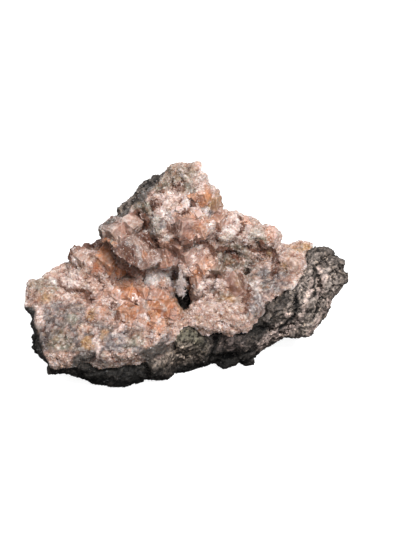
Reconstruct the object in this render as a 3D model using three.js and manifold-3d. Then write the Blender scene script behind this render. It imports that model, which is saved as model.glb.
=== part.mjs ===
// A hand-size mineral specimen: a wedge of dark basalt whose front and top carry a thick crust of pink and
// orange feldspar. The crust lines an open hollow (a vug) under an overhanging peak, and its larger
// crystals are blocky rhombs with flat faces. Two solids: basalt_matrix and crystal_crust.
// Millimetres, +Z up, +Y to the back, and the table is the plane z = 0. The finished group is set over its
// origin, so that the origin lies under the middle of the specimen.
import * as THREE from "three";
import Module from "manifold-3d";
import { ConvexGeometry } from "three/addons/geometries/ConvexGeometry.js";
import { ConvexHull } from "three/addons/math/ConvexHull.js";
import { ImprovedNoise } from "three/addons/math/ImprovedNoise.js";
import { triTable } from "three/addons/objects/MarchingCubes.js";
import { mergeVertices } from "three/addons/utils/BufferGeometryUtils.js";

// ---- driving dimensions ----
const CRUST_DEPTH = 5; // how deep the crystal crust goes below the specimen's outer face
const GAP = 0.3; // between the two touching solids
const FACE_TILT = 30; // degrees that the crystal face leans back from upright
const BLEND = 2.5; // radius of the creases where blocks and hollows meet
const CRUST_CELL = 3.9; // mesh size on the crust
const MATRIX_CELL = 4.8; // mesh size on the basalt
const EVENING_ROUNDS = 3; // passes that even each mesh out
const RANDOM_SEED = 7;

// Uneven lumps, by their size and height: over the whole surface, and along the crust's edges.
const SURFACE_LUMPS = [[13, 2.2], [5.5, 1.1]];
const OUTLINE_LUMPS = [[4, 1.5]];
const BACK_LUMPS = [[9, 5]];
const FLOOR_LUMPS = [[7, 3]];

// ---- the specimen's outer form: overlapping convex blocks, by their corners ----
const BLOCKS = {
  lower_left: [
    [-61.5, -7, 30.5], [-58, 0, 33.5], [-54, 5, 34], [-50, 9, 34.5], [-44, 20, 33], [-51.5, -27, 15],
    [-37, -29, 19], [-20, -29, 20.5], [-6, -25, 22], [-2, 4, 24], [-16, 30, 30], [-55, -22, 9],
    [-47, -23, 3.5], [-42, 12, 3], [-26, 30, 2], [-6, -18, 2], [-4, 28, 0], [-59, -4, 20], [-36, -25, 5],
  ],
  left_foot: [
    [-37, -21.5, 0], [-31, -24.5, 0], [-24, -23, 0], [-12, -18, 0], [-4, -11, 0], [-39, -23, 8],
    [-14, -24, 10], [-8, 20, 0], [-30, 20, 0], [-20, 0, 14],
  ],
  left_lobe: [
    [-46, 8, 35], [-44, 13, 38], [-38, 16, 41], [-32, 18, 41], [-27, 14, 38], [-24, 2, 32], [-38, 0, 31],
    [-30, 24, 36], [-40, 20, 26], [-20, 24, 30], [-34, 2, 22], [-28, 20, 41], [-20, 22, 46],
  ],
  core: [
    [-38, -14, 16], [-36, 18, 20], [-12, -18, 16], [22, -10, 18], [44, 4, 24], [42, 24, 28], [-10, 32, 30],
    [24, 34, 30], [-34, -10, 3], [-30, 26, 3], [34, 2, 4], [28, 32, 2], [-4, -12, 1], [14, -4, 0],
  ],
  front_block: [
    [-9, -22, 20], [-1, -21, 25], [6, -20, 25], [12, -17, 22], [13, -12, 8], [6, -10, 0], [-6, -14, 1],
    [-12, -20, 10], [0, 10, 0], [0, 6, 24],
  ],
  right_block: [
    [14, -17, 21], [21, -18, 20], [30, -12, 26], [34, -7, 20], [31, -4, 3], [22, -8, 0], [14, -8, 1],
    [26, 20, 0], [10, 16, 0], [20, 4, 28], [8, 0, 26],
  ],
  right_slab: [
    [0, -17, 24], [12, -18, 23], [27, -13, 27], [32, -9, 29], [42, 2, 33], [42, 12, 37], [24, 8, 34],
    [8, 2, 29], [4, -6, 27], [10, 4, 12], [36, 10, 14], [4, -10, 12], [26, -8, 12],
  ],
  right_end: [
    [30, -9, 29], [42, -6, 28], [53, 0, 16], [58.5, 4, 26.5], [62, 8, 31], [61.5, 11, 36], [57, 14, 38.5],
    [50, 18, 39.5], [40, 18, 38], [40, -3, 7], [48, -2, 10], [30, -1, 3], [48, 26, 24], [30, 34, 20],
    [36, 24, 4], [24, 14, 32], [20, 32, 2],
  ],
  back: [
    [-34, 28, 22], [-10, 40, 20], [20, 40, 18], [34, 32, 22], [-28, 32, 1], [24, 36, 1], [0, 42, 4],
    [-22, 22, 40], [30, 22, 40], [0, 10, 0], [-9, 32, 48], [12, 30, 48],
  ],
  peak: [
    [-10, 23, 67.5], [-2, 21, 71.5], [5, 23, 70], [8.5, 23, 63], [11.5, 22, 56], [3, 32, 63], [-13, 22, 65],
    [-18, 22, 60.5], [-22.5, 20, 56], [-26.5, 17, 52.5], [-30, 13, 51], [-33.5, 9, 49.8], [-27, 4, 45.5],
    [-20, 1, 42], [-8, 3, 45], [4, 6, 47], [10, 10, 48], [-14, 38, 40], [10, 36, 40], [-26, 26, 38],
    [-2, 11, 61],
  ],
  throat: [
    [-24, 13, 28], [-23, 12, 44], [-4, 8, 26], [-4, 8.5, 44], [12, 9, 27], [16, 12, 46], [-20, 32, 28],
    [14, 32, 28], [-12, 30, 50], [8, 30, 50],
  ],
  peak_back: [
    [-9.5, 26, 65.5], [-14, 26, 62], [-19, 26, 57.5], [-24, 26, 51.5], [-29, 26, 45.5], [-33.5, 26, 40.5],
    [-2, 28, 66], [-4, 36, 60], [-16, 36, 54], [-26, 36, 42], [-30, 30, 32], [4, 34, 56], [8, 34, 36],
    [-10, 38, 30],
  ],
  lobe_back: [
    [-47, 22, 27.5], [-41, 23, 33], [-36.5, 23, 37], [-27, 23, 38.5], [-24, 32, 34], [-40, 31, 24],
    [-46, 26, 20], [-30, 18, 20],
  ],
  ridge: [
    [10, 20, 54], [20.5, 20, 49.5], [29, 19, 46.5], [34, 19, 45], [38, 18, 40], [30, 12, 39], [12, 10, 46],
    [20, 8, 42], [34, 26, 36], [12, 30, 44], [8, 26, 30], [36, 20, 30], [22, 14, 34],
  ],
  hanging_crystals: [
    [-32, 5, 48], [-27, 0, 46], [-20, -3, 43], [-15.6, -4, 39], [-10, -1, 41], [-10, 4, 46], [-22, 8, 50],
    [-26, 8, 42], [-14, 8, 38],
  ],
};

// ---- hollows in it, as ellipsoids: centre and half-axes ----
const HOLLOWS = [
  { name: "vug", at: [-1, 3, 25], half: [4.6, 10, 11] },
  { name: "vug_back", at: [-8, 8, 31], half: [8, 6, 4.5] },
  { name: "basin", at: [-20, -6, 36], half: [22, 12, 12] },
  { name: "druse_recess", at: [20, 4, 41], half: [10, 8, 6] },
  { name: "lobe_gap", at: [-25, 8, 42], half: [4, 10, 4] },
  { name: "shadow_pocket", at: [28, -13, 22], half: [5, 6, 3] },
];

// ---- relief on the crystal face: [across, up the face, half-widths across, up and out] ----
const KNOBS = [
  [-2, 54, 12, 9, 5], [-10.2, 45.5, 6, 5, 6], [1.7, 47.3, 7, 4.5, 6], [1.7, 66.6, 6, 5, 4],
  [6, 69.4, 2.4, 2.6, 3], [-16.2, 56.6, 3.5, 4, 4], [-25, 46.6, 7, 5.5, 5], [-18, 38.6, 8.5, 6, 6],
  [-6.9, 38, 3, 3.6, 4], [4.6, 34.7, 6.5, 5.5, 5], [10.2, 32.5, 5, 1.6, 5], [30.6, 46.2, 5, 4, 4],
  [39.2, 35, 4.5, 5, 4], [-10.6, 27.6, 5.5, 4, 4], [18.4, 48, 6, 5, 3], [-5, 14.6, 5.5, 5, 4],
  [-13.2, 12, 5, 4, 3], [-42, 14.6, 4, 3.5, 3], [-34.7, 35.4, 8, 6, 4], [11, 15.7, 9, 5, 3],
  [24, 14.6, 4, 2.5, 3], [-50, 23, 5, 4, 3], [-28, 5, 7, 4, 2.5], [17, 24, 6, 3, 3],
];
const PITS = [
  [-0.8, 24.7, 3.8, 7.4, 12],
  [-16.9, 51.8, 2.2, 3.5, 5], [-13.9, 47.3, 2.2, 4, 5], [-11, 42.4, 2.5, 2.2, 4], [-1.3, 42.6, 6, 1.8, 5],
  [6, 41.8, 4, 1.8, 4], [10.5, 43, 2.4, 3, 3], [-29.5, 39.5, 1.8, 4, 5], [-25, 34.6, 2, 2.6, 5],
  [-17, 31.8, 5, 1.7, 5], [-37, 22.4, 2.8, 2, 4], [-5.8, 32.5, 2.5, 2, 5], [17.6, 37.5, 5, 3, 4],
  [28.4, 40, 2.6, 2, 3], [13, 29, 3, 1.6, 3], [-31, 16, 2.4, 3, 2],
];

// ---- the crust's outline on the face: across and up ----
const CRUST_OUTLINE = [
  [-62, 26], [-57.5, 18], [-55.5, 12], [-53.5, 4.5], [-51, -1.5], [-45, -5], [-42, -2.5], [-38, 0.5],
  [-31.5, -2], [-27, -3], [-16, -1.5], [-9, 2.5], [-4.5, 7], [0, 12.5], [5, 12], [7, 10], [12, 10.5],
  [18, 10], [24, 12], [28, 15], [30, 21.5], [36, 23.5], [41, 27], [44, 31], [44, 37], [46, 40], [48, 46],
  [40, 48], [30, 54], [20, 60], [16, 68], [10, 76], [-4, 76], [-7, 70], [-9, 67], [-11.5, 63.5],
  [-15, 61], [-17, 58], [-20, 56], [-25, 52], [-30, 48.5], [-31, 43], [-36, 41], [-41, 38], [-45, 34],
  [-50, 36], [-62, 36],
];
const CRUST_BACK = 25; // the crust stops at this depth
const CRUST_FLOOR = { height: 9, front: -27, slope: 0.15 }; // and above this plane, which rises to the back

// ---- the larger crystals: [across, up, edge length, turn about the face's normal in degrees] ----
const CRYSTALS = [
  [-18.6, 37.4, 8, 20], [-14, 38.5, 6, 75], [-25, 44, 6, 60], [-27.5, 48, 4.5, 30], [-5.5, 38, 4.5, 10],
  [-8.5, 36, 3.6, 50], [1.7, 46.6, 7, 35], [6, 48.5, 4.5, 65], [3.5, 60, 4.5, 15], [7.5, 57.5, 3.4, 70],
  [2.4, 35, 6, 5], [8, 33.4, 4.5, 80], [16.9, 28.4, 6.5, 40], [14, 26.5, 4.5, 0], [-5, 15.8, 6, 25],
  [-11, 16.5, 5, 75], [-9.5, 20.5, 4, 30], [-34.6, 35.4, 6, 15], [-38, 33, 5, 55], [-31, 33, 5, 85],
  [-20.6, 21.3, 4.5, 45], [-20, 14.6, 4.5, 5], [-15.6, 10.5, 3.6, 65], [-28, 24, 4, 35],
  [29.4, 44.5, 4.5, 20], [11, 50.3, 4.2, 50], [-0.5, 67, 4.2, 60], [6, 68, 2.8, 10],
];
// Smaller ones grow in patches: centre on the face, half-widths, how many, and their edge lengths.
const PATCHES = [
  { at: [-35, 33], spread: [6, 5], count: 4, edge: [2.6, 4] },
  { at: [-17, 20], spread: [12, 8], count: 11, edge: [2.6, 4.4] },
  { at: [-3, 56], spread: [9, 9], count: 7, edge: [2.4, 3.6] },
  { at: [22, 46], spread: [11, 4], count: 4, edge: [2.4, 3.6] },
];
const RHOMB_STRETCH = 1.12; // a cube's long diagonal drawn out to make a rhomb
const CRYSTAL_LEAN = 0.8; // how far a crystal's axis may lean off the face's normal
const CRYSTAL_SUNK = 0.32; // how deep its middle lies, as a share of its edge

// ---- a deep crack between the two front blocks: a wedge, by its corners ----
const CRACK = [
  [8.8, -26, -2], [11.8, -26, -2], [11, -26, 24], [12.6, -26, 24], [11.9, -9, 24], [10.2, -2, -2],
];

// ---- a chip of basalt that sticks out from under the front: its sizes, middle and turn in degrees ----
const CHIP = { size: [4.6, 10, 2.4], at: [22.3, -3.2], turn: 24 };

const rad = THREE.MathUtils.degToRad;
const faceUp = new THREE.Vector3(0, Math.sin(rad(FACE_TILT)), Math.cos(rad(FACE_TILT)));
const faceOut = new THREE.Vector3(0, -Math.cos(rad(FACE_TILT)), Math.sin(rad(FACE_TILT)));
const noise = new ImprovedNoise();
const vector = (xyz) => new THREE.Vector3(...xyz);

let randomState = RANDOM_SEED;
function random(low, high) {
  randomState = (randomState * 1664525 + 1013904223) % 2 ** 32;
  return low + ((high - low) * randomState) / 2 ** 32;
}

// ---- fields: roughly the distance to a surface, negative inside it ----
function lumps(p, layers) {
  let height = 0;
  for (const [size, tall] of layers)
    height += tall * noise.noise(p.x / size + 3.1, p.y / size + 8.7, p.z / size + 5.3);
  return height;
}

function smoothMin(a, b) {
  const h = Math.max(BLEND - Math.abs(a - b), 0) / BLEND;
  return Math.min(a, b) - (h * h * BLEND) / 4;
}
const smoothCut = (d, hole) => -smoothMin(-d, hole);

const hulls = Object.values(BLOCKS).map((corners) =>
  new ConvexHull().setFromPoints(corners.map(vector)).faces.map(({ normal, constant }) => ({
    normal: normal.clone(),
    constant,
  })),
);
function hullField(faces, p) {
  let d = -Infinity;
  for (const { normal, constant } of faces) d = Math.max(d, normal.dot(p) - constant);
  return d;
}

// An ellipsoid's field, from the offset to its middle along its own axes.
function ellipsoidField(offset, half) {
  const q = offset.map((o, i) => o / half[i]);
  const reach = Math.hypot(...q);
  const slope = Math.hypot(...q.map((o, i) => o / half[i]));
  return (reach * (reach - 1)) / Math.max(slope, 1e-6);
}
const uprightEllipsoid = ({ at, half }, p) => ellipsoidField(p.clone().sub(vector(at)).toArray(), half);
function leaningEllipsoid({ at, half }, p) {
  const offset = p.clone().sub(at);
  return ellipsoidField([offset.x, offset.dot(faceUp), offset.dot(faceOut)], half);
}

function bareForm(p) {
  let d = Infinity;
  for (const faces of hulls) d = smoothMin(d, hullField(faces, p));
  d += lumps(p, SURFACE_LUMPS);
  for (const hollow of HOLLOWS) d = smoothCut(d, uprightEllipsoid(hollow, p));
  return d;
}

// Where a line into the face, at a place across and up it, first meets a form.
function settle(form, across, up) {
  const farOut = 60;
  const near = 0.05;
  const p = new THREE.Vector3(across, 0, 0).addScaledVector(faceUp, up).addScaledVector(faceOut, farOut);
  for (let travel = 0, d = form(p); travel < 2 * farOut && d > near; d = form(p)) {
    const step = Math.max(0.6 * d, near);
    p.addScaledVector(faceOut, -step);
    travel += step;
  }
  return p;
}

const onFace = ([across, up, ...half]) => ({ at: settle(bareForm, across, up), half });
const knobs = KNOBS.map(onFace);
const pits = PITS.map(onFace);

function wholeForm(p) {
  let d = bareForm(p);
  for (const knob of knobs) d = smoothMin(d, leaningEllipsoid(knob, p));
  for (const pit of pits) d = smoothCut(d, leaningEllipsoid(pit, p));
  return d;
}

// The crust's outline, carried straight through the specimen along the face's normal.
function outlineField(p) {
  const x = p.x;
  const y = p.dot(faceUp);
  let nearest = Infinity;
  let inside = false;
  CRUST_OUTLINE.forEach(([ax, ay], i) => {
    const [bx, by] = CRUST_OUTLINE[(i + 1) % CRUST_OUTLINE.length];
    const along = ((x - ax) * (bx - ax) + (y - ay) * (by - ay)) / ((bx - ax) ** 2 + (by - ay) ** 2);
    const t = THREE.MathUtils.clamp(along, 0, 1);
    nearest = Math.min(nearest, Math.hypot(x - ax - t * (bx - ax), y - ay - t * (by - ay)));
    if (ay > y !== by > y && x < ax + ((y - ay) / (by - ay)) * (bx - ax)) inside = !inside;
  });
  return (inside ? -nearest : nearest) + lumps(p, OUTLINE_LUMPS);
}

function crustRegion(p) {
  const floor = CRUST_FLOOR.height + CRUST_FLOOR.slope * (p.y - CRUST_FLOOR.front);
  return Math.max(
    outlineField(p),
    p.y - CRUST_BACK + lumps(p, BACK_LUMPS),
    floor - p.z + lumps(p, FLOOR_LUMPS),
  );
}

// The basalt is the whole form less the crust's layer. Outside its region the crust dives under the basalt.
function matrixField(p) {
  const whole = wholeForm(p);
  return Math.max(whole, -Math.max(crustRegion(p), -whole - CRUST_DEPTH));
}
const crustField = (p) => wholeForm(p) + 2 * Math.max(0, crustRegion(p));

// ---- from a field to a closed mesh, by marching cubes ----
const CORNERS = [
  [0, 0, 0], [1, 0, 0], [1, 1, 0], [0, 1, 0], [0, 0, 1], [1, 0, 1], [1, 1, 1], [0, 1, 1],
];
const EDGES = [
  [0, 1], [1, 2], [2, 3], [3, 0], [4, 5], [5, 6], [6, 7], [7, 4], [0, 4], [1, 5], [2, 6], [3, 7],
];
const MARGIN = 8; // of empty space round the blocks
const CLEAR_OF_CORNER = 0.12; // how near a cell's corner a point may lie, as a share of the cell
const room = new THREE.Box3()
  .setFromPoints(Object.values(BLOCKS).flat().map(vector))
  .expandByScalar(MARGIN);

function meshField(field, cell) {
  const size = room.getSize(new THREE.Vector3()).divideScalar(cell).ceil();
  const nodeAt = ([i, j, k]) => i + (size.x + 1) * (j + (size.y + 1) * k);
  const place = (ijk) => vector(ijk).multiplyScalar(cell).add(room.min);
  const value = [];
  for (let k = 0; k <= size.z; k++)
    for (let j = 0; j <= size.y; j++)
      for (let i = 0; i <= size.x; i++) value.push(field(place([i, j, k])));
  const points = [];
  const faces = [];
  const shared = new Map();
  function crossing(a, b) {
    const [from, to] = [nodeAt(a), nodeAt(b)];
    const key = Math.min(from, to) * value.length + Math.max(from, to);
    if (!shared.has(key)) {
      const t = value[from] / (value[from] - value[to]);
      const kept = THREE.MathUtils.clamp(t, CLEAR_OF_CORNER, 1 - CLEAR_OF_CORNER);
      shared.set(key, points.length);
      points.push(place(a).lerp(place(b), kept));
    }
    return shared.get(key);
  }
  for (let k = 0; k < size.z; k++)
    for (let j = 0; j < size.y; j++)
      for (let i = 0; i < size.x; i++) {
        const at = CORNERS.map(([a, b, c]) => [i + a, j + b, k + c]);
        const kind = at.reduce((bits, corner, n) => bits | ((value[nodeAt(corner)] < 0) << n), 0);
        for (let n = kind * 16; triTable[n] >= 0; n += 3)
          faces.push([0, 2, 1].map((m) => crossing(...EDGES[triTable[n + m]].map((c) => at[c]))));
      }
  const mesh = { points, faces };
  for (let round = 0; round < EVENING_ROUNDS; round++) evenOut(mesh, field);
  return mesh;
}

// Draws each point to the middle of its neighbours, then sets it back on the surface.
function evenOut({ points, faces }, field) {
  const nudge = 0.2;
  const axes = [[nudge, 0, 0], [0, nudge, 0], [0, 0, nudge]].map(vector);
  const sum = points.map(() => new THREE.Vector3());
  const many = points.map(() => 0);
  for (const face of faces)
    face.forEach((a, n) => {
      sum[a].add(points[face[(n + 1) % 3]]);
      many[a] += 1;
    });
  points.forEach((p, i) => {
    const here = field(p);
    const slope = vector(axes.map((axis) => (field(p.clone().add(axis)) - here) / nudge));
    const steepness = Math.max(slope.lengthSq(), 0.25);
    p.lerp(sum[i].divideScalar(many[i]), 0.5);
    p.addScaledVector(slope, -THREE.MathUtils.clamp(field(p), -1, 1) / steepness);
  });
}

// ---- solids ----
const wasm = await Module();
wasm.setup();

function toSolid(geometry) {
  const bare = geometry.clone().deleteAttribute("normal").deleteAttribute("uv");
  const merged = mergeVertices(bare, 1e-4);
  return new wasm.Manifold(
    new wasm.Mesh({
      numProp: 3,
      vertProperties: new Float32Array(merged.attributes.position.array),
      triVerts: new Uint32Array(merged.index.array),
    }),
  );
}
const toGeometry = ({ points, faces }) =>
  new THREE.BufferGeometry().setFromPoints(points).setIndex(faces.flat());
const largestBody = (solid) => solid.decompose().sort((a, b) => b.volume() - a.volume())[0];
const solidOf = (mesh) => largestBody(toSolid(toGeometry(mesh)));

// The same mesh with its skin moved out by the gap.
function swollen(mesh) {
  const geometry = toGeometry(mesh);
  geometry.computeVertexNormals();
  const normals = geometry.attributes.normal;
  const points = mesh.points.map((p, i) =>
    p.clone().addScaledVector(new THREE.Vector3().fromBufferAttribute(normals, i), GAP),
  );
  return { points, faces: mesh.faces };
}

const belowTable = toSolid(new THREE.BoxGeometry(200, 200, 40).translate(0, 0, -20));
const chip = toSolid(
  new THREE.BoxGeometry(...CHIP.size).rotateZ(rad(CHIP.turn)).translate(...CHIP.at, CHIP.size[2] / 2),
);
const matrixMesh = meshField(matrixField, MATRIX_CELL);
const crack = toSolid(new ConvexGeometry(CRACK.map(vector)));
const matrixSolid = solidOf(matrixMesh).subtract(crack).subtract(belowTable).add(chip);

// A rhomb: a cube of edge 1 stood on its corner and drawn out a little along that diagonal.
const turnOnto = (from, to) => new THREE.Quaternion().setFromUnitVectors(from, to);
const rhombShape = new THREE.BoxGeometry(1, 1, 1)
  .applyQuaternion(turnOnto(vector([1, 1, 1]).normalize(), vector([0, 0, 1])))
  .scale(1, 1, RHOMB_STRETCH);

function rhomb([across, up, edge, turn]) {
  const lean = vector([1, 1, 1].map(() => CRYSTAL_LEAN * random(-1, 1)));
  const axis = faceOut.clone().add(lean).normalize();
  const at = settle(wholeForm, across, up).addScaledVector(faceOut, -CRYSTAL_SUNK * edge);
  return toSolid(
    rhombShape.clone()
      .rotateZ(rad(turn))
      .scale(edge, edge, edge)
      .applyQuaternion(turnOnto(vector([0, 0, 1]), axis))
      .translate(...at),
  );
}

const patchCrystals = PATCHES.flatMap(({ at, spread, count, edge }) =>
  Array.from({ length: count }, () => [
    at[0] + spread[0] * random(-1, 1),
    at[1] + spread[1] * random(-1, 1),
    random(...edge),
    random(0, 120),
  ]),
);
const grown = [...CRYSTALS, ...patchCrystals].reduce(
  (crust, crystal) => crust.add(rhomb(crystal)),
  solidOf(meshField(crustField, CRUST_CELL)),
);
const crustSolid = largestBody(
  grown.subtract(solidOf(swollen(matrixMesh))).subtract(matrixSolid).subtract(belowTable),
);

// ---- the two nodes ----
const specimen = new THREE.Group();
function addNode(name, solid, material) {
  const { vertProperties, triVerts } = solid.getMesh();
  const geometry = new THREE.BufferGeometry()
    .setAttribute("position", new THREE.BufferAttribute(new Float32Array(vertProperties), 3))
    .setIndex(new THREE.BufferAttribute(new Uint32Array(triVerts), 1));
  const mesh = new THREE.Mesh(geometry, new THREE.MeshStandardMaterial(material));
  mesh.name = name;
  specimen.add(mesh);
}
addNode("basalt_matrix", matrixSolid, { color: 0x4a453f, roughness: 0.9, metalness: 0 });
addNode("crystal_crust", crustSolid, { color: 0xcf9a80, roughness: 0.45, metalness: 0 });

const middle = new THREE.Box3().setFromObject(specimen).getCenter(new THREE.Vector3());
specimen.position.set(-middle.x, -middle.y, 0);

export default specimen;
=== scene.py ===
"""A hand-size mineral specimen: pink and orange feldspar crystals that line an open hollow in dark basalt.

The two solids of the frame stay the specimen's form. Copies of them are made fine-meshed and rough, and
thousands of crystals grow on the crust. Lengths are in millimetres, and MM turns them into metres.
"""
import math

import bmesh
import bpy
import numpy as np
from mathutils import Matrix, Vector, noise
from mathutils.bvhtree import BVHTree
from mathutils.kdtree import KDTree


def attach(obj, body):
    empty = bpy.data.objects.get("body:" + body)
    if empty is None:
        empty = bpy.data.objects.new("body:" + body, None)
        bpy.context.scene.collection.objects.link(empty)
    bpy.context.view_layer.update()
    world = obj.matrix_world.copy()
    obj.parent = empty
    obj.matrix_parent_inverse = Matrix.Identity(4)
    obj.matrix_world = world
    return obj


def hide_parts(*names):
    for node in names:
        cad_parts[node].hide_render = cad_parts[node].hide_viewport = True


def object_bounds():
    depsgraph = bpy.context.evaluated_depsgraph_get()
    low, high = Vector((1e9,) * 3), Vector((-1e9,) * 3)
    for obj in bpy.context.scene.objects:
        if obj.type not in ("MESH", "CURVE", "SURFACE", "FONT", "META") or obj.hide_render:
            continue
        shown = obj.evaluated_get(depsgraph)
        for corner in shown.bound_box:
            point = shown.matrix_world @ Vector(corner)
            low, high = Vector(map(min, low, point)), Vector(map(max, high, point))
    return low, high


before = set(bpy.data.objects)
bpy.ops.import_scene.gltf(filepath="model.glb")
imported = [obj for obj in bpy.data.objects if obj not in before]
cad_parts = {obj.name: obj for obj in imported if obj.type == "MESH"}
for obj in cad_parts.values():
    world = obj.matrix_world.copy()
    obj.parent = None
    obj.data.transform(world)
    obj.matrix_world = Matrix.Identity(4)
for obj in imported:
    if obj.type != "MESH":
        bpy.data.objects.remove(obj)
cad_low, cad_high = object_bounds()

MM = 0.001
SEED = 11

# ---- the crystal face's own axes: across, up the slope and out of it ----
FACE_LEAN = math.radians(30)
FACE_ORIGIN = np.array([-0.93, -6.43, 0.0])
ACROSS = np.array([1.0, 0.0, 0.0])
UP_FACE = np.array([0.0, math.sin(FACE_LEAN), math.cos(FACE_LEAN)])
OUT_OF_FACE = np.array([0.0, -math.cos(FACE_LEAN), math.sin(FACE_LEAN)])

# ---- minerals: colour as seen in daylight (0 to 255), crystal size and frosting ----
MINERALS = {
    # the dull pink on this line and the lilac below are partly the crust's own greyer tone and partly painted
    # shade at the left end, where less light falls
    "pink": (180, 142, 125, 0.7, 0.5), "dull_pink": (98, 86, 83, 0.42, 0.25),
    "pale_pink": (206, 180, 171, 0.6, 0.6), "salmon": (202, 146, 117, 1.0, 0.45),
    "orange": (214, 140, 84, 1.2, 0.35), "deep_orange": (178, 108, 64, 1.2, 0.15),
    # the dark brown on this line is painted shade for gaps, hollows and the shade under overhangs
    "brown": (112, 74, 56, 0.9, 0.05), "shade_brown": (62, 38, 26, 0.7, 0.0),
    # the dark mauve on this line is painted shade of crystal faces that look away from the light
    "mauve": (160, 119, 105, 1.2, 0.25), "dark_mauve": (118, 82, 70, 1.0, 0.08),
    "lilac": (110, 99, 98, 0.4, 0.3), "white": (222, 211, 207, 0.6, 0.8),
    "cream": (138, 119, 100, 0.55, 0.35), "white_grey": (180, 172, 162, 0.6, 0.5),
    "smooth_pink": (180, 146, 130, 0.3, 0.3), "ochre": (176, 136, 92, 0.6, 0.25),
    "grey_green": (116, 109, 92, 0.45, 0.3), "smoky": (118, 107, 94, 0.5, 0.45),
    "stone": (86, 79, 74, 0.45, 0.05), "black_stone": (40, 37, 35, 0.4, 0.0),
    "olive_stone": (84, 77, 60, 0.4, 0.0),
}
GROUND_MINERAL = "pink"

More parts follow.
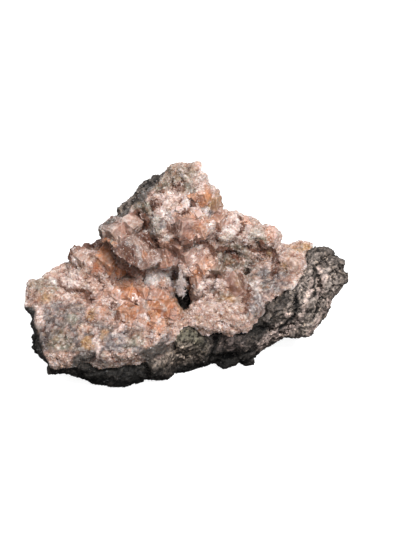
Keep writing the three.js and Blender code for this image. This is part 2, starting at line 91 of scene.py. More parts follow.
# ---- where each mineral lies on the face: across, up the face, half-widths; later rows lie on top ----
ZONES = [
    # the dark brown zones below are painted shade in gaps, under overhangs and in the hollow
    # broad fields
    ("dull_pink", -42, 8, 24, 12), ("pink", 14, 14, 16, 8), ("dull_pink", -26, 4, 18, 7),
    ("salmon", -17, 20, 20, 8), ("pink", -32, 27, 12, 7), ("dull_pink", -12, 6, 9, 5),
    ("dull_pink", -27, 46, 7, 7),
    # peak
    ("cream", -1, 67, 8, 6), ("grey_green", 2, 63, 4, 2.6), ("grey_green", -9, 63, 3.4, 2.6),
    ("salmon", 6, 71, 1.6, 2), ("pale_pink", 7, 64, 4, 6), ("pale_pink", -4, 56, 9, 6),
    ("salmon", -1, 53, 6, 3), ("orange", 6.8, 59.2, 2.8, 3.2), ("orange", 2.6, 60.4, 2, 1.8),
    ("ochre", 10.6, 57.6, 2.4, 2.6), ("grey_green", -16, 56, 3.6, 3), ("brown", -10.6, 57, 1.6, 2),
    ("brown", -2, 62.6, 1.6, 1.6), ("smoky", 2, 61.4, 1.6, 1.8), ("brown", -8, 61.6, 1.6, 1),
    ("shade_brown", -5.5, 46.4, 1, 1.4), ("white_grey", -12.6, 49, 3.6, 4.6), ("dull_pink", -9, 49, 2, 2),
    ("white", -5.6, 43.8, 3, 1.6), ("white", -6.6, 52.4, 2.4, 2), ("white", 1, 56.4, 2.4, 1.6),
    ("mauve", -0.5, 48.4, 3.4, 3.6), ("salmon", 5.4, 51, 2.6, 3), ("orange", 5, 47.6, 2.4, 2),
    ("salmon", 3.4, 44.6, 4.6, 2), ("shade_brown", -6.1, 47, 1.1, 1.5), ("salmon", 11, 50.4, 2.6, 2.6),
    ("white", 8.4, 54, 2, 2), ("pale_pink", 15.6, 46.6, 6.6, 4.6), ("white", 16, 48, 2.6, 1.6),
    ("cream", 15.6, 43.4, 3, 1.8), ("pale_pink", 20.4, 50.5, 5, 3), ("orange", 23, 50, 1.4, 1.8),
    ("pale_pink", 24, 46.6, 3, 2), ("white_grey", 26.8, 46, 3, 2.6), ("grey_green", 28.4, 43.4, 2, 1.8),
    ("salmon", 32, 46.7, 3, 4), ("smoky", 29, 40.6, 1.5, 1.5), ("pale_pink", 36, 41, 6, 1.8),
    ("ochre", 43, 41.6, 5, 1.6), ("pale_pink", 18.6, 41, 4.4, 3),
    # drusy recess to the right of the hollow
    ("smoky", 13.7, 36.4, 5, 4.2), ("grey_green", 18.4, 39.6, 6, 3.4), ("smoky", 21.6, 35.6, 5.6, 2.8),
    ("smoky", 25, 31, 4, 2.6), ("shade_brown", 10.4, 39, 1.3, 2), ("shade_brown", 14.6, 35, 2, 1),
    ("stone", 29.6, 40.6, 1.2, 1), ("shade_brown", 9, 44.6, 1.2, 1), ("ochre", 32.6, 39.3, 3.4, 1.8),
    ("smoky", 17, 33, 2.6, 1.8), ("pink", 37.4, 36.4, 4.4, 4.4), ("smooth_pink", 40.2, 35, 3.6, 3.8),
    ("ochre", 36, 32.4, 2.6, 1.8), ("dull_pink", 31, 28.6, 8, 5.4), ("white", 26, 27, 2.2, 2.2),
    # slope below it
    ("mauve", 15.4, 29, 3.4, 4.4), ("brown", 17.4, 24.6, 3, 1.2), ("ochre", 20.2, 28.4, 1.6, 3.2),
    ("pink", 7.6, 25.4, 7.4, 3.4), ("pale_pink", 5.6, 26, 4.4, 2.2), ("lilac", 12, 24, 3, 1.4),
    ("pink", 14, 23, 3, 2), ("cream", 15.8, 21.4, 5, 2.6), ("ochre", 16.6, 22, 2.6, 1.2),
    ("pink", 20.2, 18, 6, 3), ("lilac", 26, 19.6, 4, 5), ("dull_pink", 29, 15, 3, 3),
    ("pink", 18, 12.6, 5, 2.4), ("pink", 6, 13.4, 7, 2.4),
    # walls of the hollow
    ("salmon", 5.4, 35.6, 6, 4), ("pale_pink", 4, 37.6, 3, 1.8), ("orange", 5.4, 31.6, 3.4, 1.8),
    ("mauve", -3, 38, 3.4, 2.4), ("brown", -2.6, 42, 4.4, 2.8), ("shade_brown", -1.4, 44.2, 1.8, 1),
    ("white", 4.6, 41.6, 3.2, 1.6), ("brown", 11.6, 30.6, 3, 1.2), ("cream", 10.6, 33, 3.4, 1.2),
    ("salmon", -7.6, 38, 1.8, 4.2), ("salmon", -8, 26, 4, 2.4), ("white", -13.2, 28.4, 2.6, 3),
    ("white", -6.6, 29.4, 2, 2.2), ("pale_pink", -10, 31.8, 3, 1.4), ("shade_brown", -19.4, 31.4, 4.4, 1.7),
    # the black stone spot on this line is painted shade deep in the gap under the hanging crystal
    ("black_stone", -15.6, 29.4, 1, 1), ("shade_brown", -4.6, 30.2, 1.5, 2),
    ("olive_stone", -2, 20.6, 4.2, 5.2), ("shade_brown", 1.6, 26.6, 1.6, 4),
    # crystals that hang from the left of the peak
    ("pink", -25.8, 47, 5, 5), ("smoky", -31.6, 47.6, 1.6, 2.6), ("cream", -27, 45.4, 2, 2),
    ("white", -21, 51.4, 2, 1.8), ("orange", -30, 43.6, 1.6, 1), ("orange", -26, 42, 1.4, 1),
    # the dark mauve on this line is painted shade on the hanging crystal's left face
    ("brown", -23.6, 49, 0.8, 2), ("dark_mauve", -21.6, 38.4, 3.6, 5), ("pink", -13.6, 37.6, 4.4, 4.4),
    ("orange", -14.6, 37.8, 1.4, 1.4), ("mauve", -14.2, 35.6, 1.6, 1.2), ("white", -20, 42.2, 1.5, 1.5),
    # left lobe
    ("shade_brown", -33, 41.6, 4.6, 0.8), ("pink", -38.4, 37, 3.4, 3.6), ("mauve", -33, 39, 2.6, 1.6),
    ("orange", -30.6, 35.4, 2.2, 3), ("deep_orange", -31.4, 33.2, 3, 2), ("orange", -26.4, 32.6, 2.4, 2.4),
    ("pale_pink", -42, 29, 4.4, 3),
    # open basin
    ("salmon", -20, 22, 12, 5.4), ("orange", -9.3, 17.6, 6.4, 5.6), ("orange", -21.6, 25.3, 3.6, 2.6),
    ("orange", -21, 16.6, 3.4, 3.4), ("pale_pink", -28, 21.3, 4, 2.4), ("brown", -36, 22.4, 1.8, 2),
    ("white", -34.8, 20.4, 1.3, 0.9), ("pink", -26, 17, 3.6, 3), ("deep_orange", -6, 16.4, 2.8, 3.8),
    ("pale_pink", -15.4, 19, 1.6, 4), ("pale_pink", -13, 24.2, 3, 1),
    # left end and lower rim
    ("cream", -52, 27, 6, 3), ("ochre", -51.6, 22.6, 2.6, 1.8), ("lilac", -48, 18.5, 4, 3.4),
    ("pale_pink", -54, 15, 2.4, 4), ("grey_green", -41.4, 14.2, 2, 2), ("ochre", -34.4, 16.6, 2, 2),
    ("lilac", -40, 18.4, 3, 2), ("grey_green", -45.4, 6, 4.4, 3), ("ochre", -29.8, 9, 1.6, 1.8),
    ("ochre", -35, 6, 2.4, 1.6), ("pale_pink", -32, 4.4, 1.3, 2), ("pink", -37, 11.6, 3, 2),
    ("lilac", -26, 5, 5.4, 5), ("grey_green", -17, 7.4, 3, 2.4), ("salmon", -9.8, 10, 2.4, 2.4),
    ("pink", -12.6, 6.6, 3, 3), ("pink", -46, 0, 5, 3), ("pink", -24, 0.6, 7, 1.6),
]
ZONE_SOFTNESS = 0.35
ZONE_WAVES = [(6.0, 1.6), (1.6, 0.7)]  # size and reach of the bends in a zone's edge
# Veins of a mineral: their path on the face and half-width.
VEINS = [
    ("black_stone", [(-58.8, 17), (-56.6, 10), (-54.8, 3), (-53, -2)], 3.0),
    ("stone", [(-39.6, -1.2), (-33.6, 0.4)], 2.4), ("stone", [(-14, 1.4), (-8, 4)], 2.0),
    ("white", [(-15, 27), (-13, 30), (-9.6, 31), (-6.4, 30.4), (-5.6, 27.4)], 0.9),
    # the dark brown veins on this line and two lines down are painted shade in the gaps beside the hanging
    # crystal and the lobe
    ("shade_brown", [(-17.2, 47.4), (-14, 44.6), (-10.8, 41.8)], 1.8),
    ("white", [(-17.1, 40.6), (-17.1, 33.6)], 0.7),
    ("shade_brown", [(-30, 42.4), (-27.4, 38.6), (-24.6, 34.6), (-22.6, 33)], 1.5),
    ("white", [(-9.6, 39.6), (-9.4, 36.4), (-12, 34.2)], 0.8),
    ("pale_pink", [(-30, 40), (-27.6, 36.4), (-23.6, 34.4)], 0.5),
    ("stone", [(-44.6, 35.4), (-43, 38)], 0.9),
    ("stone", [(-10, 69), (-15.4, 63.6), (-20, 58.4), (-25, 53.4), (-30.4, 49.6)], 2.7),
    ("brown", [(-42.6, 37.4), (-41, 40.6), (-37, 42.4), (-31.6, 42.8)], 0.9),
    ("pale_pink", [(-26, 9), (-22, 12.6), (-17.6, 12)], 0.6),
    ("pale_pink", [(-33, 9.6), (-31.6, 4), (-32.4, 0)], 0.9),
    ("white", [(-13, 24), (-14.6, 19.6), (-13.4, 15)], 0.7),
    ("white", [(-11, 22), (-8, 19), (-9.4, 13.6)], 0.5), ("smoky", [(-21.4, 4.4), (-19, 4.8)], 0.7),
    ("white", [(-24, 20.6), (-26.4, 15)], 0.6), ("white", [(-50, 29), (-46, 27.4)], 1.0),
    ("pale_pink", [(8, 21), (13, 19.6), (17, 20)], 0.6),
]
# the brown laid along the creases between the masses of crystals is painted shade
CREASE_SHADE_MINERAL = "brown"
# Traces of other minerals all over the crust: how large the patches are, and how much of the crust they take.
TRACES = [
    ("cream", 3.4, 0.3), ("lilac", 2.6, 0.25), ("salmon", 2.0, 0.22), ("pale_pink", 1.5, 0.3),
    ("ochre", 1.8, 0.12),
]
TRACE_STRENGTH = 0.32
GAP_SHADE_TAKES = np.array([0.52, 0.66, 0.74])  # painted shade in the gaps between crystals: how much red, green and blue it takes away

# ---- relief on the face: swells and dents (across, up the face, half-widths, height out of the face) ----
SWELLS = [
    (-10.5, 29, 6, 4.4, 6.0), (8, 26, 7, 4.4, 3.5), (-13, 48, 4, 5, 1.2), (15.6, 45.4, 5, 3.4, 1.5),
    (26, 45.6, 4, 3.4, 1.2), (-3, 63.4, 7, 1.8, -1.6), (-35.6, 22.6, 2.2, 2.4, -2.2), (-52, 24, 5, 5, 1.0),
    (-21, 4.6, 3, 1.6, -0.8), (-17.4, 38, 8, 6.4, -4.0), (-25.6, 46.6, 5.6, 5.4, -2.4),
    (0.6, 48, 6, 5, -2.6), (-29.6, 36, 5, 5, -2.0), (17.4, 28, 4.6, 4.6, -1.6), (40.2, 35, 4, 4.2, 2.4),
]
# Hollows that small crystals have filled: across, up the face, half-widths, level of the fill.
FILLS = [(20, 37.4, 7.4, 5.4, 7.0), (14.6, 35.4, 4, 3.4, 4.0), (8.6, 26.4, 6.4, 4.2, 14.0)]
# Narrow creases between the masses of crystals: their path on the face, width and depth.
CREASES = [
    ([(-17.5, 53), (-14.2, 50), (-15, 46.4), (-10.6, 42.6), (-8, 40)], 2.0, 4.0),
    ([(-32, 42), (-29, 38.6), (-25, 34.4), (-21, 32.4), (-16.6, 32)], 2.2, 4.5),
    ([(-8, 39.6), (-3, 42.6), (1.5, 41.8)], 1.5, 3.0), ([(3.6, 43.6), (7.6, 42), (10.6, 39.4)], 1.8, 3.0),
    ([(13.4, 41), (17, 39), (20, 36)], 1.5, 2.4), ([(-6.2, 48.6), (-6, 46)], 1.3, 2.0),
    ([(-12.2, 58.4), (-11.2, 55)], 1.3, 1.8), ([(-36.6, 24.6), (-34.4, 21)], 1.6, 2.4),
    ([(-18.6, 20.6), (-19.4, 14.4)], 1.0, 1.6), ([(9.4, 29.6), (13.4, 31.6)], 1.4, 2.2),
    ([(20.4, 31), (21.4, 26)], 1.1, 1.4), ([(28.4, 41.4), (29.6, 39.6)], 1.4, 2.2),
    ([(33, 41), (34.6, 36), (33, 31.6)], 1.2, 1.8), ([(22, 44), (24, 40.6), (30, 38.6)], 0.8, 1.2),
    ([(12.8, 50), (13.4, 46.6), (11.6, 43.6)], 0.8, 1.2),
    ([(20.6, 52), (21.4, 48), (19.4, 44.6)], 1.0, 1.6), ([(-47, 28), (-43, 24.6), (-38, 25)], 1.1, 1.5),
    ([(-26.4, 21), (-23.6, 18), (-24.6, 13.6)], 1.0, 1.4), ([(3, 57), (1, 54), (-3, 52.6)], 1.0, 1.5),
    ([(24, 26), (21.6, 22), (23, 17)], 1.1, 1.5),
]
# The basalt's own lumps and cracks, in the same way.
ROCK_SWELLS = [
    (0, 5, 7, 7, 1.6), (-11, -2.6, 6, 4, 1.4), (16.6, 4.6, 5, 4, 1.4), (37, 7, 5, 4, 1.2),
    (46, 20, 4, 7, 1.2), (55, 26, 5, 8, 1.0), (-24, -7, 9, 2.6, 0.8), (28.4, 10.6, 4, 2.4, -2.2),
    (-26, -1.6, 9, 1.4, -1.2), (-6, -6, 11, 3, 1.7), (15.6, -3.6, 5, 3, 2.2),
]
ROCK_CREASES = [
    ([(12.4, 13), (11.4, 8), (10.2, 3), (8, -2)], 1.3, 3.4), ([(11, 0.6), (16, 0.4), (23, 1.6)], 1.6, 1.8),
    ([(13.4, 10.4), (20, 9.4), (27, 11.4), (33, 10)], 1.5, 1.6),
    ([(-19, 2), (-14, -3), (-15, -8)], 1.3, 1.2), ([(41, 23), (40, 15), (35, 10.6)], 1.3, 1.4),
    ([(49.6, 31), (50.6, 22), (47.6, 14)], 1.3, 1.4),
]
RELIEF_WAVES = [(2.0, 0.5)]  # size and reach of the bends in a swell or crease
# Small shifts of the whole outline: across, up the face, half-widths, shift across and up.
PULLS = [
    (8.8, 70.6, 3.2, 2.6, -3.6, -0.8), (-44.5, -6.7, 6, 3, 0, 1.2), (10.6, 61.4, 3.6, 5, 1.2, 0.4),
    (-10.8, 68.4, 2.6, 2.2, -0.8, 0.9), (31.6, 49.6, 5, 4, 0, -3.0), (18, 54, 5, 3, 0.3, 1.0),
    (-22.8, 56.6, 5, 5, 0.6, -0.4), (-31, 50, 4, 4, 0.3, 0.2), (-57, 28.6, 4, 4, -0.5, 1.2),
    (-60, 12, 3, 8, -1.2, 0), (-58, 3, 3, 3, 0.8, 0), (-46, 35, 5, 4, 0.6, -0.6),
    (53, 41.6, 6, 4, 0.5, 1.4), (58.6, 33, 4, 4, 1.1, 0.4), (57, 19, 5, 6, -1.7, 0.2),
    (45, 8, 6, 4, 0.4, -2.4), (-6, -6, 11, 3, 0, -1.0), (15.6, -3.6, 5, 3, 0, -1.4),
]
BOX_ROOM = 0.02  # how far inside the CAD box the rough skins stay
# Mesh sizes of the two grounds, before and after their larger relief.
ROCK_MESH, ROCK_FINE_MESH = 0.8, 0.54
CRUST_MESH, CRUST_FINE_MESH = 0.7, 0.56

# ---- larger crystals: place on the face, how far out of it their middle lies, three edge lengths (or one for
# all), turn, lean across and up, mineral and how many smaller ones have grown on them ----
# At no turn one edge, the second, runs straight down from the corner that stands out; a lean of 55 up hides
# the face over that corner, and a lean of 55 down lays it flat. The hanging one has lost two lower corners.
# the hanging crystal's dark mauve is painted shade of its shaded left face
HANGING = ("hanging_crystal", -17.8, 38.2, 23.2, (12.2, 10.8, 12.2), 3, 0, 40, "dark_mauve", 2)
LARGE_CRYSTALS = [
    (-25.4, 46.8, 19.6, (8.6, 8, 7.8), 26, -14, -4, "mauve", 6),
    (-20, 48.8, 20.6, (6.4, 6, 6), -12, 10, -12, "pink", 4),
    (-29, 46.6, 19.4, (5, 4.8, 4.8), 6, -24, 0, "dull_pink", 3),
    (-23.6, 43.4, 21, (6, 5.4, 5.4), -5, -4, 12, "mauve", 4),
    (-0.2, 48.2, 24.2, (7.8, 7.6, 7.4), -8, -6, 16, "mauve", 6),
    (5, 47.4, 23.4, (5.8, 5.8, 5.6), 18, 8, 4, "salmon", 4), (6.6, 59.2, 25.2, 5, 24, 4, 12, "orange", 3),
    (10.8, 57.4, 22.6, 4.4, 10, 8, 14, "ochre", 2), (12.0, 50.6, 15.6, 4.4, 10, 10, -10, "salmon", 3),
    (-38.4, 37, 11.4, (5.6, 5.6, 5.4), 5, -6, -14, "pink", 5),
    (-28.6, 36.6, 11.4, (7.8, 8.8, 7.6), 8, 8, -24, "orange", 7),
    (-25, 33.6, 11.6, (5, 5.6, 5), -4, 8, -10, "orange", 3), (-35.4, 32.6, 12, 4.4, 30, -6, 0, "salmon", 3),
    (-2.8, 42.6, 20.2, (6, 5.4, 5.6), 14, 4, -26, "mauve", 2),
    (-7.4, 39, 18.2, (5, 6, 5), 24, 0, 12, "mauve", 3), (-7.2, 35.6, 17.2, 4, 8, 0, 24, "salmon", 2),
    (-0.2, 38.4, 14.6, (6.6, 6.2, 6), 12, -4, -8, "mauve", 4),
    (4.6, 34.2, 15.4, (6.4, 5.6, 5.6), 30, 0, 4, "salmon", 4),
    (4.4, 28.6, 12.6, (4, 6, 4), 4, 0, 30, "salmon", 2),
    (11, 33, 14.6, (7.4, 3.6, 3.4), 34, 0, -10, "cream", 2),
    # this crystal's dark mauve is painted shade of its shaded left face
    (18.2, 25, 15.8, (8.6, 8, 8.4), 3, 0, 61, "dark_mauve", 1),
    (-7.8, 17.2, 24, (7.6, 7.4, 7), 18, 6, 10, "orange", 6),
    (-13.2, 16.8, 22.4, 6, 45, -4, -10, "orange", 4), (-10.4, 22.2, 13.6, 5, 30, 0, -14, "salmon", 3),
    (-20.8, 16, 27.4, (6.2, 6, 6), 5, 4, 12, "orange", 5),
    (-21.4, 23, 13.4, (5.4, 5, 5), 45, 0, -10, "orange", 3), (-16, 24.6, 12.0, 4.4, 15, 0, 10, "orange", 3),
    (-27.6, 24, 13.2, 4, 20, 0, 10, "salmon", 3), (-32.8, 22.2, 13.2, 4.4, 25, -10, -10, "mauve", 2),
    (31.4, 44.6, 12.4, 3.6, 20, 14, 10, "salmon", 3),
]
LARGE_WEAR = [(0.5, 3.2), (0.24, 1.2), (0.12, 0.55)]  # reach and size of the bends, pits and grit in a face
LARGE_TAKES = 0.55  # share of the face's own colours that a larger crystal takes on
CORNERS_OFF = [((-0.5, 0.42, 0), (-0.92, -0.75, 0)), ((0, 0.15, -0.5), (0, -0.8, -0.65))]
RHOMB_STRETCH = 1.12  # how much longer a rhomb is along its upright diagonal than across it
RHOMB_TURN = -15  # turns one edge to run straight down
FOOT_SHADE_TAKES = np.array([0.8, 1.1, 1.2])  # painted shade at a crystal's foot: how soon red, green and blue darken towards it
TIP_FROST, PATCH_FROST = (236, 226, 218), (236, 226, 226)  # white of frosted tips and of frosted patches
DUST_COUNT = 2400  # tiny pale crystals that sit on the larger ones
DUST_EDGE = (0.16, 0.52)

# ---- small crystals by size: how many, edge lengths as shares of the mineral's crystal size, how deep they
# sit as a share of an edge, and the least crystal size of a mineral that carries them ----
CRYSTAL_SIZES = {
    "coarse_crystals": (2600, (1.2, 2.1), 0.4, 0.8),
    "medium_crystals": (14000, (0.75, 1.35), 0.36, 0.0),
    "fine_crystals": (16000, (0.45, 0.8), 0.25, 0.0),
}
OPEN_WAY = 1.6  # a crystal grows only where the way ahead is open this far

# ---- basalt: its colours, and where the paler places and streaks are on the face ----
ROCK = {
    "dark": (88, 81, 77), "black": (40, 38, 36), "brown": (128, 117, 110), "plum": (98, 87, 84),
    "pale": (172, 159, 151), "stain": (206, 186, 178), "olive": (122, 117, 101), "warm": (168, 152, 140),
}
ROCK_ZONES = [
    ("brown", 48, 22, 15, 15), ("pale", 50, 29, 8, 8), ("pale", 41, 19, 6, 4), ("pale", 45, 12, 7, 5),
    # the black zones along the bottom and at the left end are partly the rock's own dark colour and partly
    # painted shade; the black at 27, 10.8 is painted shadow in the pocket under the crust
    ("olive", 1, 7, 6, 5.6), ("plum", 16.6, 5, 6, 4), ("black", -28, -6.4, 22, 6), ("warm", -3, 1, 9, 4.6),
    ("black", 16, -1, 10, 3), ("black", 27, 10.8, 5, 2.6), ("black", -57, 6, 3, 12),
    ("black", 4, -4, 14, 1.6), ("brown", -24, 55, 9, 9), ("dark", 36, 21, 3, 3),
]
ROCK_STREAKS = [
    # the black streaks are painted shade under the crust's edge and in the cracks and creases
    ("black", [(9, 10.4), (16, 11.6), (24, 10), (31, 12)], 1.3),
    ("stain", [(28.6, 4.4), (33, 7.6), (39.6, 11.6)], 2.7),
    ("stain", [(50.4, 33.4), (47.6, 27), (44.8, 20.6), (42.6, 12)], 1.3),
    ("stain", [(51.6, 29), (50, 24)], 1.6), ("stain", [(54, 21), (49, 12.4), (45, 7)], 0.8),
    ("stain", [(37.6, 16.4), (41, 15)], 1.1), ("black", [(48.4, 33), (48.2, 23)], 0.7),
    ("black", [(12.4, 12), (11.2, 6), (9.6, 0)], 1.2), ("black", [(41, 23), (39.6, 14), (35.6, 10.6)], 0.9),
]
ROCK_WAVES = [(5, 1.6), (1.5, 0.6)]  # size and reach of the bends in their edges
GRAIN_COUNT = 16000  # broken grains that stand out of the basalt
GRAIN_EDGE = (0.25, 0.65)
GRAIN_SHARES = {"black": 0.34, "dark": 0.3, "brown": 0.16, "olive": 0.1, "pale": 0.1}

# ---- needles: across, up the face, reach, how many, and their mineral if it is not white ----
TUFTS = [
    (-10, 29.4, 1.8, 90), (-6.4, 31.2, 1.6, 70), (-13.4, 27.4, 1.6, 70), (-5.4, 27.6, 1.4, 50),
    (-3.4, 32.4, 1.4, 40), (-20.4, 42.4, 1.4, 60), (1.6, 40.8, 1.4, 60), (26, 27, 1.5, 60),
    (23.6, 25.4, 1.2, 40), (-14.6, 46.4, 1.2, 40), (17, 37.4, 1.3, 50, "cream"),
    (14.4, 35.4, 1.2, 40, "cream"), (27.4, 44, 1.2, 40, "cream"), (9.6, 43.2, 1.0, 40), (12, 41.4, 1.0, 40),
    (14.4, 39.6, 1.1, 40), (12.2, 37.4, 1.0, 40), (16.4, 41.6, 1.0, 40, "cream"), (18.4, 38.2, 1.0, 40),
    (21, 40.6, 1.0, 40, "cream"), (-12, 30.6, 1.2, 50), (-8, 30.8, 1.2, 50),
]
# The spray that hangs in the hollow: a thin stem, then two fuzzy balls (up the face, reach, how many).
SPRAY = {"across": -1.5, "top": 34.0, "out": 16, "stem": 5.6, "balls": [(27.4, 2.0, 420), (24.4, 1.8, 300)]}
NEEDLE_TIP = 0.25  # width of a needle's tip as a share of its foot

# ---- floor, camera and lights ----
FLOOR_GLOW = 0.86  # how bright the floor looks to the camera; it lights the specimen much less
MIDDLE = Vector((7.47, -6.43, 34.3)) * MM
VIEW_DISTANCE = 700 * MM
LENS = 122.2
# Each light: azimuth, elevation, distance and size in metres, and watts.
LIGHTS = {
    "key": (32, 47, 0.8, 0.2, 6.0),
    "top": (-20, 78, 1.0, 0.6, 1.7),
    "front": (6, 30, 1.0, 0.3, 3.8),
    "rear": (200, 30, 1.0, 0.5, 4.0),
    "spark": (8, 50, 1.1, 0.03, 1.6),
}

rng = np.random.default_rng(SEED)


# ---- colours and places ----
def daylight(color):
    """A colour of 0 to 255 as the linear light that the shaders use."""
    c = np.asarray(color, float) / 255
    return np.where(c <= 0.04045, c / 12.92, ((c + 0.055) / 1.055) ** 2.4)


def look_of(mineral):
    """A mineral's colour in linear light, its crystal size and its frosting, as one row."""
    *color, grain, frost = MINERALS[mineral]
    return np.array([*daylight(color), grain, frost])


def on_axes(points):
    """Points in millimetres as across, up and out of the face."""
    local = points - FACE_ORIGIN
    return local @ ACROSS, local @ UP_FACE, local @ OUT_OF_FACE


def on_face(across, up, out=0.0):
    """The point at a place on the face, and that far out of it."""
    return FACE_ORIGIN + across * ACROSS + up * UP_FACE + out * OUT_OF_FACE


def unevenness(points, size, seed):
    """Smooth noise from -1 to 1 whose bumps are about that size."""
    shift = Vector((seed * 13.7, seed * 5.1, seed * 9.3))
    return np.array([noise.noise(Vector(p) / size + shift) for p in points])


def shaken(points, reach, size, seed):
    """Points moved about by noise in three directions."""
    return points + reach * np.stack([unevenness(points, size, seed + k) for k in range(3)], axis=1)


def wandering(points, waves, across_seed, up_seed):
    """Places across and up the face, moved about by noise of several sizes and reaches."""
    across, up, _ = on_axes(points)
    for k, (size, reach) in enumerate(waves):
        across = across + reach * unevenness(points, size, across_seed + k)
        up = up + reach * unevenness(points, size, up_seed + k)
    return across, up


def fibres(points, size, seed):
    """Noise drawn out along the basalt's own grain."""
    way = 0.45 * ACROSS + 0.89 * UP_FACE
    return unevenness(points - 0.82 * np.outer(points @ way, way), size, seed)


def unit(vectors):
    return vectors / np.linalg.norm(vectors, axis=1, keepdims=True)


def dots(a, b):
    return np.einsum("ij,ij->i", a, b)


def from_middle(across, up, x, y, wide, tall):
    """0 in the middle of an oval on the face, 1 on its edge."""
    return np.hypot((across - x) / wide, (up - y) / tall)


def bell(across, up, *oval):
    """1 in the middle of an oval on the face, falling smoothly to 0 at 1.3 times its half-widths."""
    reach = np.clip(from_middle(across, up, *oval) / 1.3, 0, 1)
    return (1 - reach * reach) ** 2


def distance_to_path(across, up, path):
    best = np.full(len(across), np.inf)
    for (ax, ay), (bx, by) in zip(path, path[1:]):
        length2 = (bx - ax) ** 2 + (by - ay) ** 2
        t = np.clip(((across - ax) * (bx - ax) + (up - ay) * (by - ay)) / length2, 0, 1)
        best = np.minimum(best, np.hypot(across - ax - t * (bx - ax), up - ay - t * (by - ay)))
    return best


# ---- what the crust and the rock are made of at each place ----
def crystal_minerals(points):
    """Each point's colour, crystal size and frosting, from the zones that it lies in."""
    across, up = wandering(points, ZONE_WAVES, 21, 31)
    look = np.tile(look_of(GROUND_MINERAL), (len(points), 1))

    def lay(mineral, share, columns=slice(None)):
        look[:, columns] += share[:, None] * (look_of(mineral)[columns] - look[:, columns])

    for mineral, *oval in ZONES:
        share = np.clip((1 + ZONE_SOFTNESS - from_middle(across, up, *oval)) / (2 * ZONE_SOFTNESS), 0, 1)
        lay(mineral, share * share * (3 - 2 * share))
    for k, (mineral, size, much) in enumerate(TRACES):
        patch = 0.5 + 0.9 * unevenness(points, size, 71 + k)
        lay(mineral, TRACE_STRENGTH * np.clip((patch - 1 + much) / 0.25 + 0.5, 0, 1), slice(3))
    # the brown along the creases is painted shade
    creases = [(CREASE_SHADE_MINERAL, path, width * 0.8) for path, width, _ in CREASES]
    for mineral, path, width in VEINS + creases:
        away = distance_to_path(across, up, path) / width
        lay(mineral, np.clip(0.5 + (1 - away) * max(1, width), 0, 1))
    return look[:, :3].copy(), look[:, 3].copy(), look[:, 4].copy()


def coarseness(grain):
    """How blocky and deeply parted a mineral's crystals are, by their size."""
    return np.clip((grain - 0.3) / 0.6, 0.4, 1)


def shaded_in_gaps(colors, crest, grain):
    """Painted shade: crystals are darker and browner in the gaps than on the crests."""
    gap = np.clip(-crest, 0, 1) * coarseness(grain)
    return colors * (1 - gap[:, None] * GAP_SHADE_TAKES)


def rock_colors(points, normals):
    """The basalt's colour, and how stained it is: paler breaks and streaks, and painted shade that makes it
    nearly black underneath.
    """
    across, up = wandering(points, ROCK_WAVES, 61, 63)
    color = np.tile(daylight(ROCK["dark"]), (len(points), 1))
    stained = np.zeros(len(points))
    for name, *oval in ROCK_ZONES:
        share = np.clip(1.5 - from_middle(across, up, *oval), 0, 1)[:, None]
        color += share * (daylight(ROCK[name]) - color)
    for name, path, width in ROCK_STREAKS:
        share = np.clip(1.4 - distance_to_path(across, up, path) / width, 0, 1)
        color += share[:, None] * (daylight(ROCK[name]) - color)
        stained += share * ((name == "stain") - stained)
    # painted shade: darker near the floor and on faces that look down
    low = np.clip(1.25 - points[:, 2] / np.where(across < -14, 6.5, 4), 0, 1)
    underside_shade = np.clip(-(normals[:, 2] + 0.05) / 0.6, 0, 1) + low
    # the fibres are the rock's own grain; the underside shade is painted
    shade = (1 + 0.9 * fibres(points, 0.9, 65)) * (1 - 0.9 * np.clip(underside_shade, 0, 1))
    return color * shade[:, None], stained


# ---- meshes and arrays ----
def read_array(items, key, width, kind=np.float32):
    """A property of a mesh's items as an array with that many columns."""
    values = np.empty(len(items) * width, kind)
    items.foreach_get(key, values)
    return values.reshape(-1, width)


def points_of(mesh):
    return read_array(mesh.vertices, "co", 3).astype(float) / MM


def normals_of(mesh):
    return read_array(mesh.vertex_normals, "vector", 3).astype(float)


def set_points(mesh, points):
    mesh.vertices.foreach_set("co", (points * MM).astype(np.float32).ravel())
    mesh.update()


def store_color(mesh, name, colors):
    layer = mesh.color_attributes.new(name, "FLOAT_COLOR", "POINT")
    rgba = np.ones((len(mesh.vertices), 4), np.float32)
    rgba[:, :3] = np.clip(colors, 0, 1)
    layer.data.foreach_set("color", rgba.ravel())


def store_value(mesh, name, values):
    layer = mesh.attributes.new(name, "FLOAT", "POINT")
    layer.data.foreach_set("value", np.asarray(values, np.float32))


def new_piece(name, mesh):
    piece = bpy.data.objects.new(name, mesh)
    bpy.context.scene.collection.objects.link(piece)
    return piece


def even_mesh(piece, voxel):
    """Gives a piece an even mesh of small squares."""
    remesh = piece.modifiers.new("even mesh", "REMESH")
    remesh.mode = "VOXEL"
    remesh.voxel_size = voxel * MM
    bpy.context.view_layer.update()
    even = bpy.data.meshes.new_from_object(piece.evaluated_get(bpy.context.evaluated_depsgraph_get()))
    piece.modifiers.clear()
    piece.data = even
    even.name = piece.name
    even.shade_flat()


def fine_copy(node, name, voxel):
    """A copy of a CAD node with its doubles merged and an even fine mesh, and its points and normals."""
    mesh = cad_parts[node].data.copy()
    bm = bmesh.new()
    bm.from_mesh(mesh)
    bmesh.ops.remove_doubles(bm, verts=bm.verts, dist=0.001 * MM)
    bm.to_mesh(mesh)
    bm.free()
    mesh.materials.clear()
    piece = new_piece(name, mesh)
    even_mesh(piece, voxel)
    return piece, points_of(piece.data), normals_of(piece.data)


